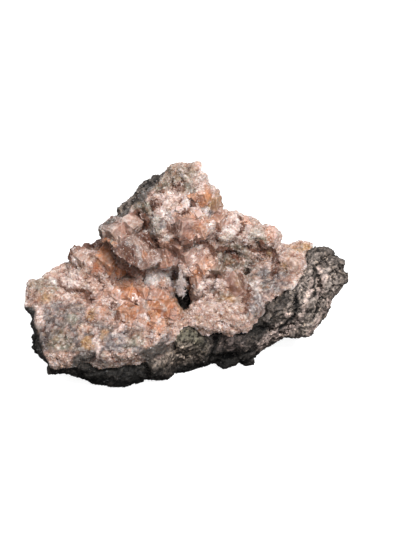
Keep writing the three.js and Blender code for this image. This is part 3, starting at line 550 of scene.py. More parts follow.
def hump(mesh, points, rounds):
    """How far each point stands above the mean of its neighbours, evened out over some rounds."""
    a, b = read_array(mesh.edges, "vertices", 2, np.int32).T
    count = len(points)
    many = np.bincount(a, minlength=count) + np.bincount(b, minlength=count)
    smooth = points
    for _ in range(rounds):
        sums = [np.bincount(a, axis[b], count) + np.bincount(b, axis[a], count) for axis in smooth.T]
        smooth = np.stack(sums, axis=1) / many[:, None]
    return dots(points - smooth, normals_of(mesh))


def tree_of(pieces):
    """One search tree of several pieces' skins, in millimetres."""
    corners, faces = [], []
    for piece in pieces:
        start = len(corners)
        corners.extend(points_of(piece.data))
        faces.extend([start + v for v in polygon.vertices] for polygon in piece.data.polygons)
    return BVHTree.FromPolygons([Vector(c) for c in corners], faces)


# ---- relief ----
def spread_seeds(points, spacing):
    """Which points of a surface to grow from: one in each cell of that size, picked by chance."""
    taken = {}
    for i in rng.permutation(len(points)):
        taken.setdefault(tuple(np.floor(points[i] / spacing).astype(int)), i)
    return np.array(list(taken.values()))


def nearest(seeds, points, many=1):
    tree = KDTree(len(seeds))
    for i, seed in enumerate(seeds):
        tree.insert(seed, i)
    tree.balance()
    return np.array([[hit[1] for hit in tree.find_n(p, many)] for p in points])


def crystal_relief(points, normals, spacing, height, corner_spread):
    """The height of a skin of crystal corners: each seed raises a corner of three flat faces."""
    picked = spread_seeds(points, spacing)
    seeds, count = points[picked], len(picked)
    axes = unit(normals[picked] + 0.45 * rng.normal(size=(count, 3)))
    side = unit(np.cross(axes, rng.normal(size=(count, 3))))
    other = np.cross(axes, side)
    turns = np.arange(3) * 2 * math.pi / 3
    faces = [unit(axes + corner_spread * (math.cos(t) * side + math.sin(t) * other)) for t in turns]
    tall = height * rng.uniform(0.4, 1.0, count)
    best = np.full(len(points), -np.inf)
    for i in nearest(seeds, points, 6).T:
        offset = points - seeds[i]
        rise = np.full(len(points), np.inf)
        for face in faces:
            facing = np.clip(dots(face[i], normals), 0.2, None)
            rise = np.minimum(rise, (tall[i] - dots(offset, face[i])) / facing)
        best = np.maximum(best, rise)
    return np.clip(best, -height, height)


def broken_relief(points, spacing, tilt, step):
    """The height of a broken stone skin: small flat breaks, each with its own tilt and level."""
    picked = spread_seeds(points, spacing)
    seeds = points[picked]
    tilts = tilt * rng.normal(size=(len(picked), 3))
    level = step * rng.uniform(-1, 1, len(picked))
    near = nearest(seeds, shaken(points, 0.25 * spacing, spacing, 50))[:, 0]
    return np.clip(level[near] + dots(points - seeds[near], tilts[near]), -3 * step, 3 * step)


def cluster_relief(points, spacing, height):
    """The height of rounded clusters with narrow gaps between them."""
    seeds = points[spread_seeds(points, spacing)]
    bent = shaken(points, 0.3 * spacing, 0.8 * spacing, 55)
    near = nearest(seeds, bent)[:, 0]
    away = np.linalg.norm(bent - seeds[near], axis=1) / (0.75 * spacing)
    return height * (0.6 - np.clip(away, 0, 1.3) ** 2)


def pulled(points):
    """Points with the small shifts of the outline."""
    across, up, _ = on_axes(points)
    for *oval, move_across, move_up in PULLS:
        points = points + bell(across, up, *oval)[:, None] * (move_across * ACROSS + move_up * UP_FACE)
    return points


def face_relief(points, normals, swells, creases):
    """Swells, dents and creases as moves out of the face, where a surface looks out of it."""
    across, up = wandering(points, RELIEF_WAVES, 41, 42)
    height = np.zeros(len(points))
    for *oval, rise in swells:
        height += rise * bell(across, up, *oval)
    for path, width, depth in creases:
        reach = np.clip(distance_to_path(across, up, path) / (0.9 * width), 0, 1)
        height -= depth * (1 - reach * reach) ** 2
    height = height * np.clip((normals @ OUT_OF_FACE + 0.2) / 0.5, 0, 1)
    return height[:, None] * OUT_OF_FACE


def filled(points, normals):
    """Points with each filled hollow raised to its level; the crust's back stays."""
    open_side = normals @ OUT_OF_FACE > -0.25
    across, up, out = on_axes(points)
    for *oval, level in FILLS:
        reach = from_middle(across, up, *oval)
        top = level - 9 * np.clip(reach - 0.55, 0, 1) ** 1.5 + 0.9 * unevenness(points, 3, 81)
        rise = np.where((reach < 1.25) & open_side, np.clip(top - out, 0, None), 0)
        points = points + rise[:, None] * OUT_OF_FACE
        out = out + rise
    return points


def roughened(piece, relief):
    """Moves a piece's skin along its normals, inside the CAD box, and leaves the face it rests on flat."""
    points, normals = points_of(piece.data), normals_of(piece.data)
    resting = np.clip((points[:, 2] - 0.3) / 1.5, 0, 1)
    points = points + normals * (relief(points, normals) * resting)[:, None]
    low, high = np.array(cad_low) / MM + BOX_ROOM, np.array(cad_high) / MM - BOX_ROOM
    low[2] = 0
    set_points(piece.data, np.clip(points, low, high))
    return points_of(piece.data)


# ---- the two grounds ----
def make_basalt():
    piece, points, normals = fine_copy("basalt_matrix", "basalt_rock", ROCK_MESH)
    set_points(piece.data, pulled(points) + face_relief(points, normals, ROCK_SWELLS, ROCK_CREASES))
    even_mesh(piece, ROCK_FINE_MESH)

    def relief(points, normals):
        height = broken_relief(points, spacing=7.0, tilt=0.13, step=0.3)
        height += broken_relief(points, spacing=2.6, tilt=0.14, step=0.1)
        height += 0.2 - 0.5 * np.abs(fibres(points, 2.0, 6)) - 0.24 * np.abs(unevenness(points, 1.3, 1))
        return height + 0.16 * unevenness(points, 0.6, 2) - 0.2

    points = roughened(piece, relief)
    color, stained = rock_colors(points, normals_of(piece.data))
    store_color(piece.data, "tint", color)
    store_value(piece.data, "stained", stained)
    store_value(piece.data, "stands_out", hump(piece.data, points, 6))
    return piece


def make_crust():
    piece, points, normals = fine_copy("crystal_crust", "crust_ground", CRUST_MESH)
    rise = face_relief(points, normals, SWELLS, CREASES)
    for k, way in enumerate((ACROSS, UP_FACE)):
        points = points + (1.1 * unevenness(points, 3.4, 85 + k))[:, None] * way
    set_points(piece.data, filled(pulled(points) + rise, normals))
    even_mesh(piece, CRUST_FINE_MESH)

    def relief(points, normals):
        blocky = coarseness(crystal_minerals(points)[1])
        height = blocky * crystal_relief(points, normals, spacing=2.4, height=0.9, corner_spread=0.9)
        clusters = cluster_relief(points, spacing=4.6, height=1.1)
        height += blocky * (clusters + cluster_relief(points, spacing=2.0, height=0.5))
        height += 0.7 * unevenness(points, 6.0, 7) + 0.3 * unevenness(points, 1.6, 3)
        return height + 0.16 * unevenness(points, 0.7, 4) - 0.35

    points = roughened(piece, relief)
    color, grain, frost = crystal_minerals(points)
    crest = hump(piece.data, points, 16)
    crest = np.clip(crest / (1.6 * crest.std()), -1, 1)
    # the tint carries painted shade in the gaps between crystals
    store_color(piece.data, "tint", shaded_in_gaps(color, crest, grain))
    store_value(piece.data, "frost", frost)
    store_value(piece.data, "crest", crest)
    store_value(piece.data, "stands_out", hump(piece.data, points, 4))
    return piece


# ---- the shapes that are repeated ----
def shape_of(bm):
    """A shape's points, its faces, and where each corner of a face lies on the side that it faces."""
    bm.normal_update()
    points = np.array([v.co for v in bm.verts])
    faces = [[v.index for v in f.verts] for f in bm.faces]
    on_side = []
    for face in bm.faces:
        ahead = max(range(3), key=lambda k: abs(face.normal[k]))
        on_side.extend([v.co[k] + 0.5 for k in range(3) if k != ahead] for v in face.verts)
    bm.free()
    return points, faces, np.array(on_side)


def slantwise(place):
    """A number that orders places: no two of a shape's points share it."""
    return place.x + math.sqrt(2) * place.y + math.sqrt(3) * place.z


def rhomb(worn=0.0, longest=1.0, trims=()):
    """A unit rhomb in the frame of its three edges. A large one has worn edges and a finer mesh, and may have
    corners cut off."""
    bm = bmesh.new()
    bmesh.ops.create_cube(bm, size=1)
    for place, away in trims:
        everything = [*bm.verts, *bm.edges, *bm.faces]
        bmesh.ops.bisect_plane(bm, geom=everything, plane_co=place, plane_no=away, clear_outer=True)
        bmesh.ops.holes_fill(bm, edges=[e for e in bm.edges if e.is_boundary])

    def part_large_faces():
        bmesh.ops.triangulate(bm, faces=[f for f in bm.faces if len(f.verts) > 4])

    if worn:
        bmesh.ops.bevel(
            bm, geom=bm.edges[:], offset=worn, segments=2, profile=0.5, affect="EDGES", material=-1
        )
        part_large_faces()
    while long := [e for e in bm.edges if e.calc_length() > longest]:
        bmesh.ops.subdivide_edges(bm, edges=long, cuts=1, use_grid_fill=True)
        part_large_faces()
    if worn:
        # subdividing leaves points and faces in no fixed order, so they are sorted by their place
        bm.verts.sort(key=lambda v: slantwise(v.co))
        bm.faces.sort(key=lambda f: slantwise(f.calc_center_median()))
        bm.verts.index_update()
    return shape_of(bm)


def standing_edges():
    """The directions of a rhomb's three edges when it stands on a corner and one edge runs straight down."""
    onto = Vector((1, 1, 1)).rotation_difference(Vector((0, 0, 1))).to_matrix()
    turn = Matrix.Rotation(math.radians(RHOMB_TURN), 3, "Z")
    return np.array(turn @ onto) * np.array([[1], [1], [RHOMB_STRETCH]])


def needle():
    """A unit needle along z, from 0 to 1."""
    bm = bmesh.new()
    bmesh.ops.create_cube(bm, size=1, matrix=Matrix.Translation((0, 0, 0.5)))
    tip = [v for v in bm.verts if v.co.z > 0.5]
    bmesh.ops.scale(bm, vec=(NEEDLE_TIP, NEEDLE_TIP, 1), verts=tip)
    return shape_of(bm)


EDGE_WAYS = standing_edges()
RHOMB = rhomb()
LARGE_SHAPES = {
    "large_crystals": rhomb(0.035, 0.07),
    "hanging_crystal": rhomb(0.03, 0.05, CORNERS_OFF),
    "grown_crystals": rhomb(0.05, 0.25),
}
NEEDLE = needle()


# ---- many copies of a shape in one mesh ----
def standing_frames(normals, turns):
    """For each normal, a turned frame whose third axis is that normal."""
    helper = np.where(np.abs(normals[:, 2:3]) < 0.9, [[0.0, 0.0, 1.0]], [[1.0, 0.0, 0.0]])
    side = unit(np.cross(helper, normals))
    other = np.cross(normals, side)
    c, s = np.cos(turns)[:, None], np.sin(turns)[:, None]
    return np.stack([c * side + s * other, -s * side + c * other, normals], axis=2)


def any_turns(count):
    return rng.uniform(0, 2 * math.pi, count)


def stood(places, facing, size, spread, sunk, scale=1):
    """Many rhombs' places, a little sunk in the skin, with the frame and three edge lengths of each."""
    ways, normals = facing
    edge = scale * rng.uniform(*size, len(places))
    edges = edge[:, None] * rng.uniform(*spread, (len(places), 3))
    frames = standing_frames(ways, any_turns(len(places)))
    return places - normals * (sunk * edge)[:, None], frames, edges


def leaning(normals, lean):
    """Directions that lean by chance from the normals, and the normals."""
    return unit(normals + lean * rng.normal(size=normals.shape)), normals


def join_many(name, shape, points, tints, frosts):
    """One mesh of a shape's copies that lie inside the CAD box: points and tints are (copy, corner, 3)."""
    low, high = np.array(cad_low) / MM, np.array(cad_high) / MM
    kept = ((points > low) & (points < high)).all(axis=(1, 2))
    points, tints, frosts = points[kept], tints[kept], frosts[kept]
    count, corners = points.shape[:2]
    _, faces, on_side = shape
    sizes = np.array([len(f) for f in faces])
    one = np.concatenate(faces)
    copy = np.arange(count)[:, None]
    loops = one + corners * copy
    starts = np.cumsum(sizes) - sizes + len(one) * copy
    mesh = bpy.data.meshes.new(name)
    mesh.vertices.add(count * corners)
    mesh.vertices.foreach_set("co", (points * MM).astype(np.float32).ravel())
    mesh.loops.add(loops.size)
    mesh.loops.foreach_set("vertex_index", loops.astype(np.int32).ravel())
    mesh.polygons.add(starts.size)
    mesh.polygons.foreach_set("loop_start", starts.astype(np.int32).ravel())
    mesh.update(calc_edges=True)
    mesh.shade_flat()
    faces_map = mesh.uv_layers.new(name="faces")
    faces_map.data.foreach_set("uv", np.tile(on_side, (count, 1)).astype(np.float32).ravel())
    store_color(mesh, "tint", tints.reshape(-1, 3))
    store_value(mesh, "frost", np.broadcast_to(frosts.reshape(count, -1), (count, corners)).ravel())
    return new_piece(name, mesh)


def grow_rhombs(name, shape, places, frames, edges, colors, frosts, wear=(), takes=0.0):
    """Many rhombs, each with its own place, frame, three edge lengths, colour and frosting.
    A crystal is darker at its foot, which is painted shade, and frosted at its tip."""
    colors, frosts = colors[:, None, :], frosts[:, None]
    corners = shape[0]
    stood_up = np.einsum("ij,nkj->nki", EDGE_WAYS, corners[None] * edges[:, None, :])
    points = np.einsum("nij,nkj->nki", frames, stood_up) + places[:, None, :]
    flat = points.reshape(-1, 3)
    for first, (reach, size) in enumerate(wear):
        flat = shaken(flat, reach, size, 91 + 3 * first)
    points = flat.reshape(points.shape)
    if takes:
        there, _, frost_there = crystal_minerals(flat)
        colors = colors + takes * (there.reshape(points.shape) - colors)
        frosts = frosts + takes * (frost_there.reshape(points.shape[:2]) - frosts)
    lift = corners.sum(axis=1) / 3 + 0.5
    # painted shade at each crystal's foot
    painted_shade = (0.66 + 0.38 * lift)[None, :, None] ** FOOT_SHADE_TAKES
    tip = np.clip(lift - 0.55, 0, 1)[None, :] * frosts
    if wear:
        mottle = (unevenness(flat, 1.7, 101) + 0.7 * unevenness(flat, 0.7, 102)).reshape(points.shape[:2])
        tip = tip + 1.3 * frosts * np.clip(mottle - 0.05, 0, 0.6)
        colors = colors * (1 + 0.25 * mottle[:, :, None])
    tints = colors * painted_shade
    tints = tints + tip[:, :, None] * (daylight(TIP_FROST) - tints)
    return join_many(name, shape, points, tints, frosts)


def scatter_on(piece, around, count, value="stands_out"):
    """Places on a piece's open skin, with their normals and a value that the piece stores there."""
    mesh = piece.data
    mesh.calc_loop_triangles()
    triangles = read_array(mesh.loop_triangles, "vertices", 3, np.int32)
    points, normals = points_of(mesh), normals_of(mesh)
    a, b, c = (points[triangles[:, k]] for k in range(3))
    area = np.linalg.norm(np.cross(b - a, c - a), axis=1)
    chosen = rng.choice(len(triangles), 3 * count, p=area / area.sum())
    u, v = rng.random((2, len(chosen), 1))
    fold = u + v > 1
    u, v = np.where(fold, 1 - u, u), np.where(fold, 1 - v, v)
    places = a[chosen] + u * (b - a)[chosen] + v * (c - a)[chosen]
    facing = unit(normals[triangles[chosen]].mean(axis=1))
    values = read_array(mesh.attributes[value].data, "value", 1)[:, 0][triangles[chosen]].mean(axis=1)
    clear = [
        around.ray_cast(Vector(p) + 0.12 * Vector(n), Vector(n), OPEN_WAY)[0] is None
        for p, n in zip(places, facing)
    ]
    return places[clear][:count], facing[clear][:count], values[clear][:count]


# ---- crystals, needles and grains ----
def jittered(places, colors, grain, frosts, crest):
    """Each crystal's colour: a little lighter or darker, frosted white in patches, and darkened with painted
    shade in the gaps.
    """
    count = len(colors)
    shade = rng.normal(1.0, 0.1, (count, 1))
    patch = 2.1 * unevenness(places, 2.2, 75) + 0.9 * unevenness(places, 5.0, 76)
    patch = patch + rng.normal(-0.2, 0.15, count)
    patch = patch + 0.7 * unevenness(places, 1.1, 77) + 0.9 * crest * coarseness(grain)
    white = np.clip(frosts * patch, 0, 0.85)[:, None]
    colors = shaded_in_gaps(colors, crest, grain)
    return np.clip(colors * shade * (1 - white) + daylight(PATCH_FROST) * white, 0, 0.95)


def make_small_crystals(crust, around):
    pieces = []
    for name, (count, size, sunk, least_grain) in CRYSTAL_SIZES.items():
        places, facing, crest = scatter_on(crust, around, 2 * count, "crest")
        color, grain, frost = crystal_minerals(places)
        kept = np.flatnonzero(grain + 0.12 * rng.normal(size=len(grain)) > least_grain)[:count]
        places, facing, crest, color, grain, frost = (
            values[kept] for values in (places, facing, crest, color, grain, frost)
        )
        where = stood(places, leaning(facing, 0.3), size, spread=(0.7, 1.25), sunk=sunk, scale=grain)
        color = jittered(places, color, grain, frost, crest)
        pieces.append(grow_rhombs(name, RHOMB, *where, color, frost))
    return pieces


def make_large_crystals():
    """Each larger crystal is one rhomb with smaller ones grown on its faces, nearly in line with it."""
    rows = {name: [] for name in LARGE_SHAPES}
    whole = [("large_crystals", *row) for row in LARGE_CRYSTALS]
    for kind, across, up, out, edge, turn, lean_across, lean_up, mineral, growths in [HANGING, *whole]:
        axis = (
            OUT_OF_FACE
            + math.tan(math.radians(lean_across)) * ACROSS
            + math.tan(math.radians(lean_up)) * UP_FACE
        )
        axis /= np.linalg.norm(axis)
        edge = edge * np.ones(3)
        middle = on_face(across, up, out)
        turned = standing_frames(axis[None], np.radians([turn]))[0]
        look = look_of(mineral)
        color, frost = look[:3], look[4]
        rows[kind].append((middle, turned, edge, color, frost))
        for _ in range(growths):
            share = rng.uniform(0.2, 0.45)
            spot = rng.uniform(-0.5, 0.5, 3) * (1 - share)
            spot[rng.integers(3)] = 0.5 - 0.42 * share
            tilted = axis + 0.05 * rng.normal(size=3)
            tilted /= np.linalg.norm(tilted)
            nearly = standing_frames(tilted[None], np.radians([turn + rng.normal(0, 3)]))[0]
            small = edge * share * rng.uniform(0.8, 1.1, 3)
            shade = np.clip(color * rng.normal(1.05, 0.1), 0, 0.95)
            place = middle + turned @ (EDGE_WAYS @ (spot * edge))
            rows["grown_crystals"].append((place, nearly, small, shade, frost + 0.15))
    pieces = []
    for name, shape in LARGE_SHAPES.items():
        arrays = [np.array(values) for values in zip(*rows[name])]
        pieces.append(grow_rhombs(name, shape, *arrays, wear=LARGE_WEAR, takes=LARGE_TAKES))
    return pieces


def make_dust(large_pieces, around):
    """Tiny pale crystals that sit on the larger ones, most where these are frosted."""
    each = DUST_COUNT * 2 // len(large_pieces)
    found = [scatter_on(piece, around, each, "frost") for piece in large_pieces]
    places, facing, frost = (np.concatenate(values) for values in zip(*found))
    kept = rng.random(len(frost)) < 0.1 + 1.1 * frost
    places, facing = places[kept], facing[kept]
    where = stood(places, (facing, facing), DUST_EDGE, spread=(0.7, 1.25), sunk=0.3)
    color, _, _ = crystal_minerals(places)
    share = rng.uniform(0.1, 0.8, (len(places), 1))
    color = color + share * (look_of("white")[:3] - color)
    return grow_rhombs("crystal_dust", RHOMB, *where, color, np.full(len(places), 0.5))


def make_rock_grains(rock, around):
    """Broken grains that stand out of the basalt."""
    places, facing, _ = scatter_on(rock, around, GRAIN_COUNT)
    picks = rng.choice(len(GRAIN_SHARES), len(places), p=list(GRAIN_SHARES.values()))
    own = np.array([daylight(ROCK[name]) for name in GRAIN_SHARES])[picks]
    # the grains take the rock's colour there, with its painted shade underneath
    there, stained = rock_colors(places, facing)
    colors = own**0.3 * there**0.7
    colors += stained[:, None] * (there - colors)
    where = stood(places, leaning(facing, 0.7), GRAIN_EDGE, spread=(0.5, 1.3), sunk=0.3)
    return grow_rhombs("rock_grains", RHOMB, *where, colors, np.zeros(len(places)))


def make_needle_tufts(around):
    """Bursts of white needles: those that stand on the crust, and the spray that hangs in the hollow."""
    rows = []

    def burst(foot, axis, spread, reach, count, mineral="white"):
        ways = unit(axis + spread * rng.normal(size=(count, 3)))
        bases = foot + 0.25 * reach * rng.normal(size=(count, 3))
        lengths = reach * rng.uniform(0.5, 1.0, count)
        widths = np.full(count, 0.16 + 0.03 * reach) * rng.uniform(0.7, 1.3, count)
        colors = np.clip(look_of(mineral)[:3] * rng.normal(1.0, 0.1, (count, 1)), 0, 0.95)
        rows.append((bases, ways, np.stack([widths, widths, lengths], axis=1), colors))

    for across, up, reach, count, *mineral in TUFTS:
        start = on_face(across, up, 80)
        foot = np.array(around.ray_cast(Vector(start), Vector(-OUT_OF_FACE))[0]) - 0.3 * reach * OUT_OF_FACE
        burst(foot, OUT_OF_FACE + 0.3 * UP_FACE, 0.55, reach, count, *mineral)
    hanging = on_face(SPRAY["across"], 0, SPRAY["out"])
    for share in np.linspace(0, 1, 9):
        foot = hanging + (SPRAY["top"] - share * SPRAY["stem"]) * UP_FACE
        burst(foot, -1.6 * UP_FACE + 0.5 * OUT_OF_FACE, 0.6, reach=1.3, count=26)
    for up, reach, count in SPRAY["balls"]:
        burst(hanging + up * UP_FACE, 0.5 * OUT_OF_FACE, 1.0, reach, count)
    bases, ways, sizes, colors = (np.concatenate(values) for values in zip(*rows))
    frames = standing_frames(ways, any_turns(len(bases)))
    corners = NEEDLE[0]
    points = np.einsum("nij,nkj->nki", frames, corners[None] * sizes[:, None, :]) + bases[:, None, :]
    tints = np.repeat(colors[:, None, :], len(corners), axis=1)
    return join_many("needle_tufts", NEEDLE, points, tints, np.full(len(bases), 0.4))


# ---- shader building ----
class Tree:
    """Adds nodes to a node tree, each with its settings and socket values."""

    def __init__(self, tree):
        self.tree = tree

    def add(self, kind, settings=None, **values):
        """A key is a socket's name, or _ and its number; a value that is a socket is linked."""
        node = self.tree.nodes.new(kind)
        for key, value in (settings or {}).items():
            setattr(node, key, value)
        for key, value in values.items():
            socket = node.inputs[int(key[1:])] if key[0] == "_" else node.inputs[key.replace("_", " ")]
            if isinstance(value, bpy.types.NodeSocket):
                self.tree.links.new(value, socket)
            else:
                socket.default_value = value
        return node

    def math(self, operation, a, b=0.0):
        return self.add("ShaderNodeMath", {"operation": operation}, _0=a, _1=b).outputs[0]

    def times(self, a, b):
        return self.math("MULTIPLY", a, b)

    def span(self, value, low, high, to_low=0.0, to_high=1.0):
        return self.add(
            "ShaderNodeMapRange", {"clamp": True}, _0=value, _1=low, _2=high, _3=to_low, _4=to_high
        ).outputs[0]

    def mix(self, share, a, b, blend="MIX"):
        """A mix of two colours, which are sockets 6 and 7 of its node."""
        settings = {"data_type": "RGBA", "blend_type": blend}
        return self.add("ShaderNodeMix", settings, _0=share, _6=a, _7=b).outputs[2]

    def read(self, name, output="Fac"):
        """What a piece stores under that name."""
        return self.add("ShaderNodeAttribute", {"attribute_name": name}).outputs[output]

    def group(self, group, **values):
        return self.add("ShaderNodeGroup", {"node_tree": group}, **values).outputs


class Material(Tree):
    """A material with a Principled surface, whose constants are set on its own sockets."""

    def __init__(self, name, **constants):
        self.material = bpy.data.materials.new(name)
        self.material.use_nodes = True
        super().__init__(self.material.node_tree)
        self.tree.nodes.clear()
        self.surface = self.add("ShaderNodeBsdfPrincipled", **constants)
        self.end = self.add("ShaderNodeOutputMaterial", _0=self.surface.outputs[0])

    def where(self):
        return self.add("ShaderNodeTexCoord").outputs["Object"]

    def finished(self, color, rough, height, strength, distance):
        """The material, once its surface has its colour, roughness and bumps."""
        bump = self.add("ShaderNodeBump", Height=height, Strength=strength, Distance=distance * MM)
        links = {"Base Color": color, "Roughness": rough, "Normal": bump.outputs[0]}
        for name, value in links.items():
            self.tree.links.new(value, self.surface.inputs[name])
        return self.material


def rgba(color):
    return (*daylight(color), 1.0)


def group_of(name, numbers, outputs):
    """A shader group with coordinates and named numbers as its inputs, and the sockets at its two ends."""
    tree = bpy.data.node_groups.new(name, "ShaderNodeTree")
    inputs = [("Coordinates", "NodeSocketVector", (0, 0, 0))]
    inputs += [(label, "NodeSocketFloat", value) for label, value in numbers.items()]
    for label, kind, value in inputs:
        tree.interface.new_socket(name=label, in_out="INPUT", socket_type=kind).default_value = value
    for label in outputs:
        tree.interface.new_socket(name=label, in_out="OUTPUT", socket_type="NodeSocketFloat")
    return Tree(tree), tree.nodes.new("NodeGroupInput").outputs, tree.nodes.new("NodeGroupOutput").inputs


def build_grain():
    """Cloudy grain at two sizes, from 0 to 1, for colour and for height."""
    made, ins, outs = group_of("Grain", {"Coarse": 600.0, "Fine": 2000.0}, ["Mottle", "Height"])
    coarse = made.add("ShaderNodeTexNoise", Vector=ins[0], Scale=ins[1], Detail=4.0).outputs[0]
    fine = made.add("ShaderNodeTexNoise", Vector=ins[0], Scale=ins[2], Detail=3.0).outputs[0]
    made.tree.links.new(made.span(coarse, 0.3, 0.7), outs[0])
    made.tree.links.new(made.math("ADD", coarse, made.times(fine, 0.6)), outs[1])
    return made.tree


def build_flecks():
    """Small angular flecks: a mask of the share of cells that carry one, and a number for each cell."""
    made, ins, outs = group_of("Flecks", {"Scale": 900.0, "Share": 0.1}, ["Mask", "Cell"])
    cells = made.add("ShaderNodeTexVoronoi", Vector=ins[0], Scale=ins[1])
    cell = made.add("ShaderNodeSeparateColor", Color=cells.outputs["Color"]).outputs[0]
    edge = made.math("SUBTRACT", 1.0, ins[2])
    made.tree.links.new(made.math("GREATER_THAN", cell, edge), outs[0])
    made.tree.links.new(cell, outs[1])
    return made.tree


GRAIN = build_grain()
FLECKS = build_flecks()
GLASSY = {
    "Subsurface_Weight": 0.22,
    "Subsurface_Radius": (1.0, 0.5, 0.3),
    "Subsurface_Scale": 1.6 * MM,
    "Coat_Weight": 0.2,
    "Coat_Roughness": 0.24,
}


def crystal_material():
    made = Material("feldspar crystal", **GLASSY)
    where = made.where()
    tint, frost = made.read("tint", "Color"), made.read("frost")
    mottle, height = made.group(GRAIN, Coordinates=where, Coarse=500.0, Fine=1800.0)
    # paler along a crystal's edges
    uv = made.add("ShaderNodeUVMap", {"uv_map": "faces"}).outputs[0]
    split = made.add("ShaderNodeSeparateXYZ", Vector=uv).outputs
    away = [made.math("ABSOLUTE", made.math("SUBTRACT", split[k], 0.5)) for k in (0, 1)]
    edge = made.math("MAXIMUM", *away)
    edge = made.span(made.math("ADD", edge, made.times(mottle, 0.09)), 0.46, 0.58)
    edge = made.times(edge, made.math("ADD", made.times(frost, 0.5), 0.12))
    pale = made.mix(edge, tint, rgba((240, 226, 216)))
    mottled = made.mix(made.times(mottle, 0.6), pale, rgba((176, 128, 106)), "MULTIPLY")
    patch = made.times(made.span(height, 0.8, 1.1), frost)
    whitened = made.mix(made.times(patch, 0.7), mottled, rgba((238, 228, 220)))
    cell = made.group(FLECKS, Coordinates=where, Scale=600.0, Share=0.2)[1]
    rough = made.span(cell, 0, 1, 0.26, 0.6)
    return made.finished(whitened, rough, height, strength=0.4, distance=0.15)


def crust_material():
    made = Material("feldspar crust", **GLASSY)
    where = made.where()
    tint, frost, out = made.read("tint", "Color"), made.read("frost"), made.read("stands_out")
    mottle, height = made.group(GRAIN, Coordinates=where, Coarse=700.0, Fine=2400.0)
    fleck, _ = made.group(FLECKS, Coordinates=where, Scale=1300.0, Share=0.16)
    # painted shade in the low places of the crust
    low = made.span(out, -0.35, 0.1, 1.0, 0.0)
    painted_shade = made.mix(made.times(low, 0.9), tint, rgba((130, 82, 62)), "MULTIPLY")
    high = made.times(made.span(out, 0.02, 0.4), frost)
    pale = made.mix(high, painted_shade, rgba((240, 228, 220)))
    speck = made.times(fleck, made.times(frost, 0.8))
    flecked = made.mix(speck, pale, rgba((244, 234, 228)))
    rough = made.span(mottle, 0, 1, 0.35, 0.65)
    return made.finished(flecked, rough, height, strength=0.8, distance=0.3)


def basalt_material():
    made = Material("basalt", Specular_IOR_Level=0.25)
    where = made.where()
    tint, out = made.read("tint", "Color"), made.read("stands_out")
    bare = made.span(made.read("stained"), 0, 1, 1, 0.3)
    mottle, height = made.group(GRAIN, Coordinates=where, Coarse=400.0, Fine=1900.0)
    ochre, pale, black = (
        made.group(FLECKS, Coordinates=where, Scale=scale, Share=share)[0]
        for scale, share in ((1700.0, 0.14), (2300.0, 0.12), (1200.0, 0.3))
    )
    stone = made.mix(made.times(made.times(black, 0.75), bare), tint, rgba((34, 31, 29)))
    with_ochre = made.mix(ochre, stone, (1.5, 1.45, 1.32, 1.0), "MULTIPLY")
    with_pale = made.mix(pale, with_ochre, (1.8, 1.75, 1.7, 1.0), "MULTIPLY")
    mottled = made.mix(made.times(mottle, 0.5), with_pale, rgba((120, 114, 108)), "MULTIPLY")
    # painted shade in the low places of the rock
    low = made.span(out, -0.3, 0.15, 1.0, 0.0)
    painted_shade = made.mix(low, mottled, rgba((52, 48, 45)), "MULTIPLY")
    rough = made.span(mottle, 0, 1, 0.45, 0.85)
    return made.finished(painted_shade, rough, height, strength=1.0, distance=0.45)


def grain_material():
    made = Material("basalt grain", Specular_IOR_Level=0.3)
    where, tint = made.where(), made.read("tint", "Color")
    mottle, height = made.group(GRAIN, Coordinates=where, Coarse=900.0, Fine=2600.0)
    mottled = made.mix(made.times(mottle, 0.5), tint, rgba((150, 144, 138)), "MULTIPLY")
    rough = made.span(mottle, 0, 1, 0.3, 0.7)
    return made.finished(mottled, rough, height, strength=0.6, distance=0.15)


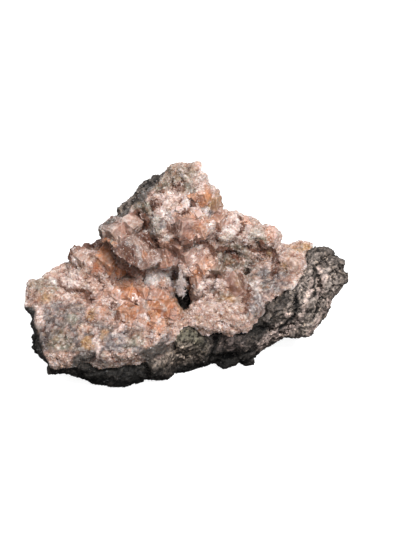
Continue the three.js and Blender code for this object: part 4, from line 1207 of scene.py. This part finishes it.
# ---- stage: floor, light and camera ----
def make_floor():
    bm = bmesh.new()
    bmesh.ops.create_grid(bm, x_segments=1, y_segments=1, size=2.0)
    mesh = bpy.data.meshes.new("floor")
    bm.to_mesh(mesh)
    bm.free()
    mesh.transform(Matrix.Translation((0, 0, -0.05 * MM)))
    floor = new_piece("floor", mesh)
    made = Material(
        "pale floor",
        Roughness=0.9,
        Base_Color=(0.5, 0.5, 0.5, 1),
        Emission_Color=(1, 1, 1, 1),
        Emission_Strength=FLOOR_GLOW,
    )
    dim = made.add("ShaderNodeBsdfDiffuse", Color=(0.07, 0.07, 0.07, 1))
    seen = made.add("ShaderNodeLightPath").outputs["Is Camera Ray"]
    both = made.add("ShaderNodeMixShader", _0=seen, _1=dim.outputs[0], _2=made.surface.outputs[0])
    made.tree.links.new(both.outputs[0], made.end.inputs[0])
    mesh.materials.append(made.material)


def aimed(name, data, place):
    """A lamp or camera at a place, aimed at the middle of the specimen."""
    item = bpy.data.objects.new(name, data)
    bpy.context.scene.collection.objects.link(item)
    item.location = place
    item.rotation_euler = (MIDDLE - place).to_track_quat("-Z", "Y").to_euler()
    return item


def around_middle(azimuth, elevation, distance):
    """A place round the specimen: azimuth from the front towards the right, in degrees."""
    a, e = math.radians(azimuth), math.radians(elevation)
    away = Vector((math.sin(a) * math.cos(e), -math.cos(a) * math.cos(e), math.sin(e)))
    return MIDDLE + away * distance


def make_camera():
    data = bpy.data.cameras.new("camera")
    data.lens = LENS
    data.sensor_width = 36
    data.clip_end = 10
    bpy.context.scene.camera = aimed("camera", data, around_middle(0, 30, VIEW_DISTANCE))


def make_lights():
    for name, (azimuth, elevation, distance, size, watts) in LIGHTS.items():
        data = bpy.data.lights.new(name, "AREA")
        data.shape = "DISK"
        data.size = size
        data.energy = watts
        aimed(name, data, around_middle(azimuth, elevation, distance))
    world = bpy.data.worlds.new("studio")
    world.use_nodes = True
    sky = world.node_tree.nodes["Background"].inputs
    sky[0].default_value = (1, 1, 1, 1)
    sky[1].default_value = 0.1
    bpy.context.scene.world = world
    bpy.context.scene.view_settings.view_transform = "Standard"


# ---- build ----
basalt = make_basalt()
crust = make_crust()
skin = tree_of([basalt, crust])
small_pieces = make_small_crystals(crust, skin)
large_pieces = make_large_crystals()
whole_skin = tree_of([basalt, crust, *large_pieces])
small_pieces += [make_needle_tufts(whole_skin), make_dust(large_pieces, whole_skin)]
grains = make_rock_grains(basalt, skin)

basalt.data.materials.append(basalt_material())
grains.data.materials.append(grain_material())
crust.data.materials.append(crust_material())
crystals = crystal_material()
for piece in [*small_pieces, *large_pieces]:
    piece.data.materials.append(crystals)

for piece in [basalt, grains]:
    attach(piece, "root")
    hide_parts("basalt_matrix")
for piece in [crust, *small_pieces, *large_pieces]:
    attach(piece, "root")
    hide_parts("crystal_crust")

make_floor()
make_lights()
make_camera()
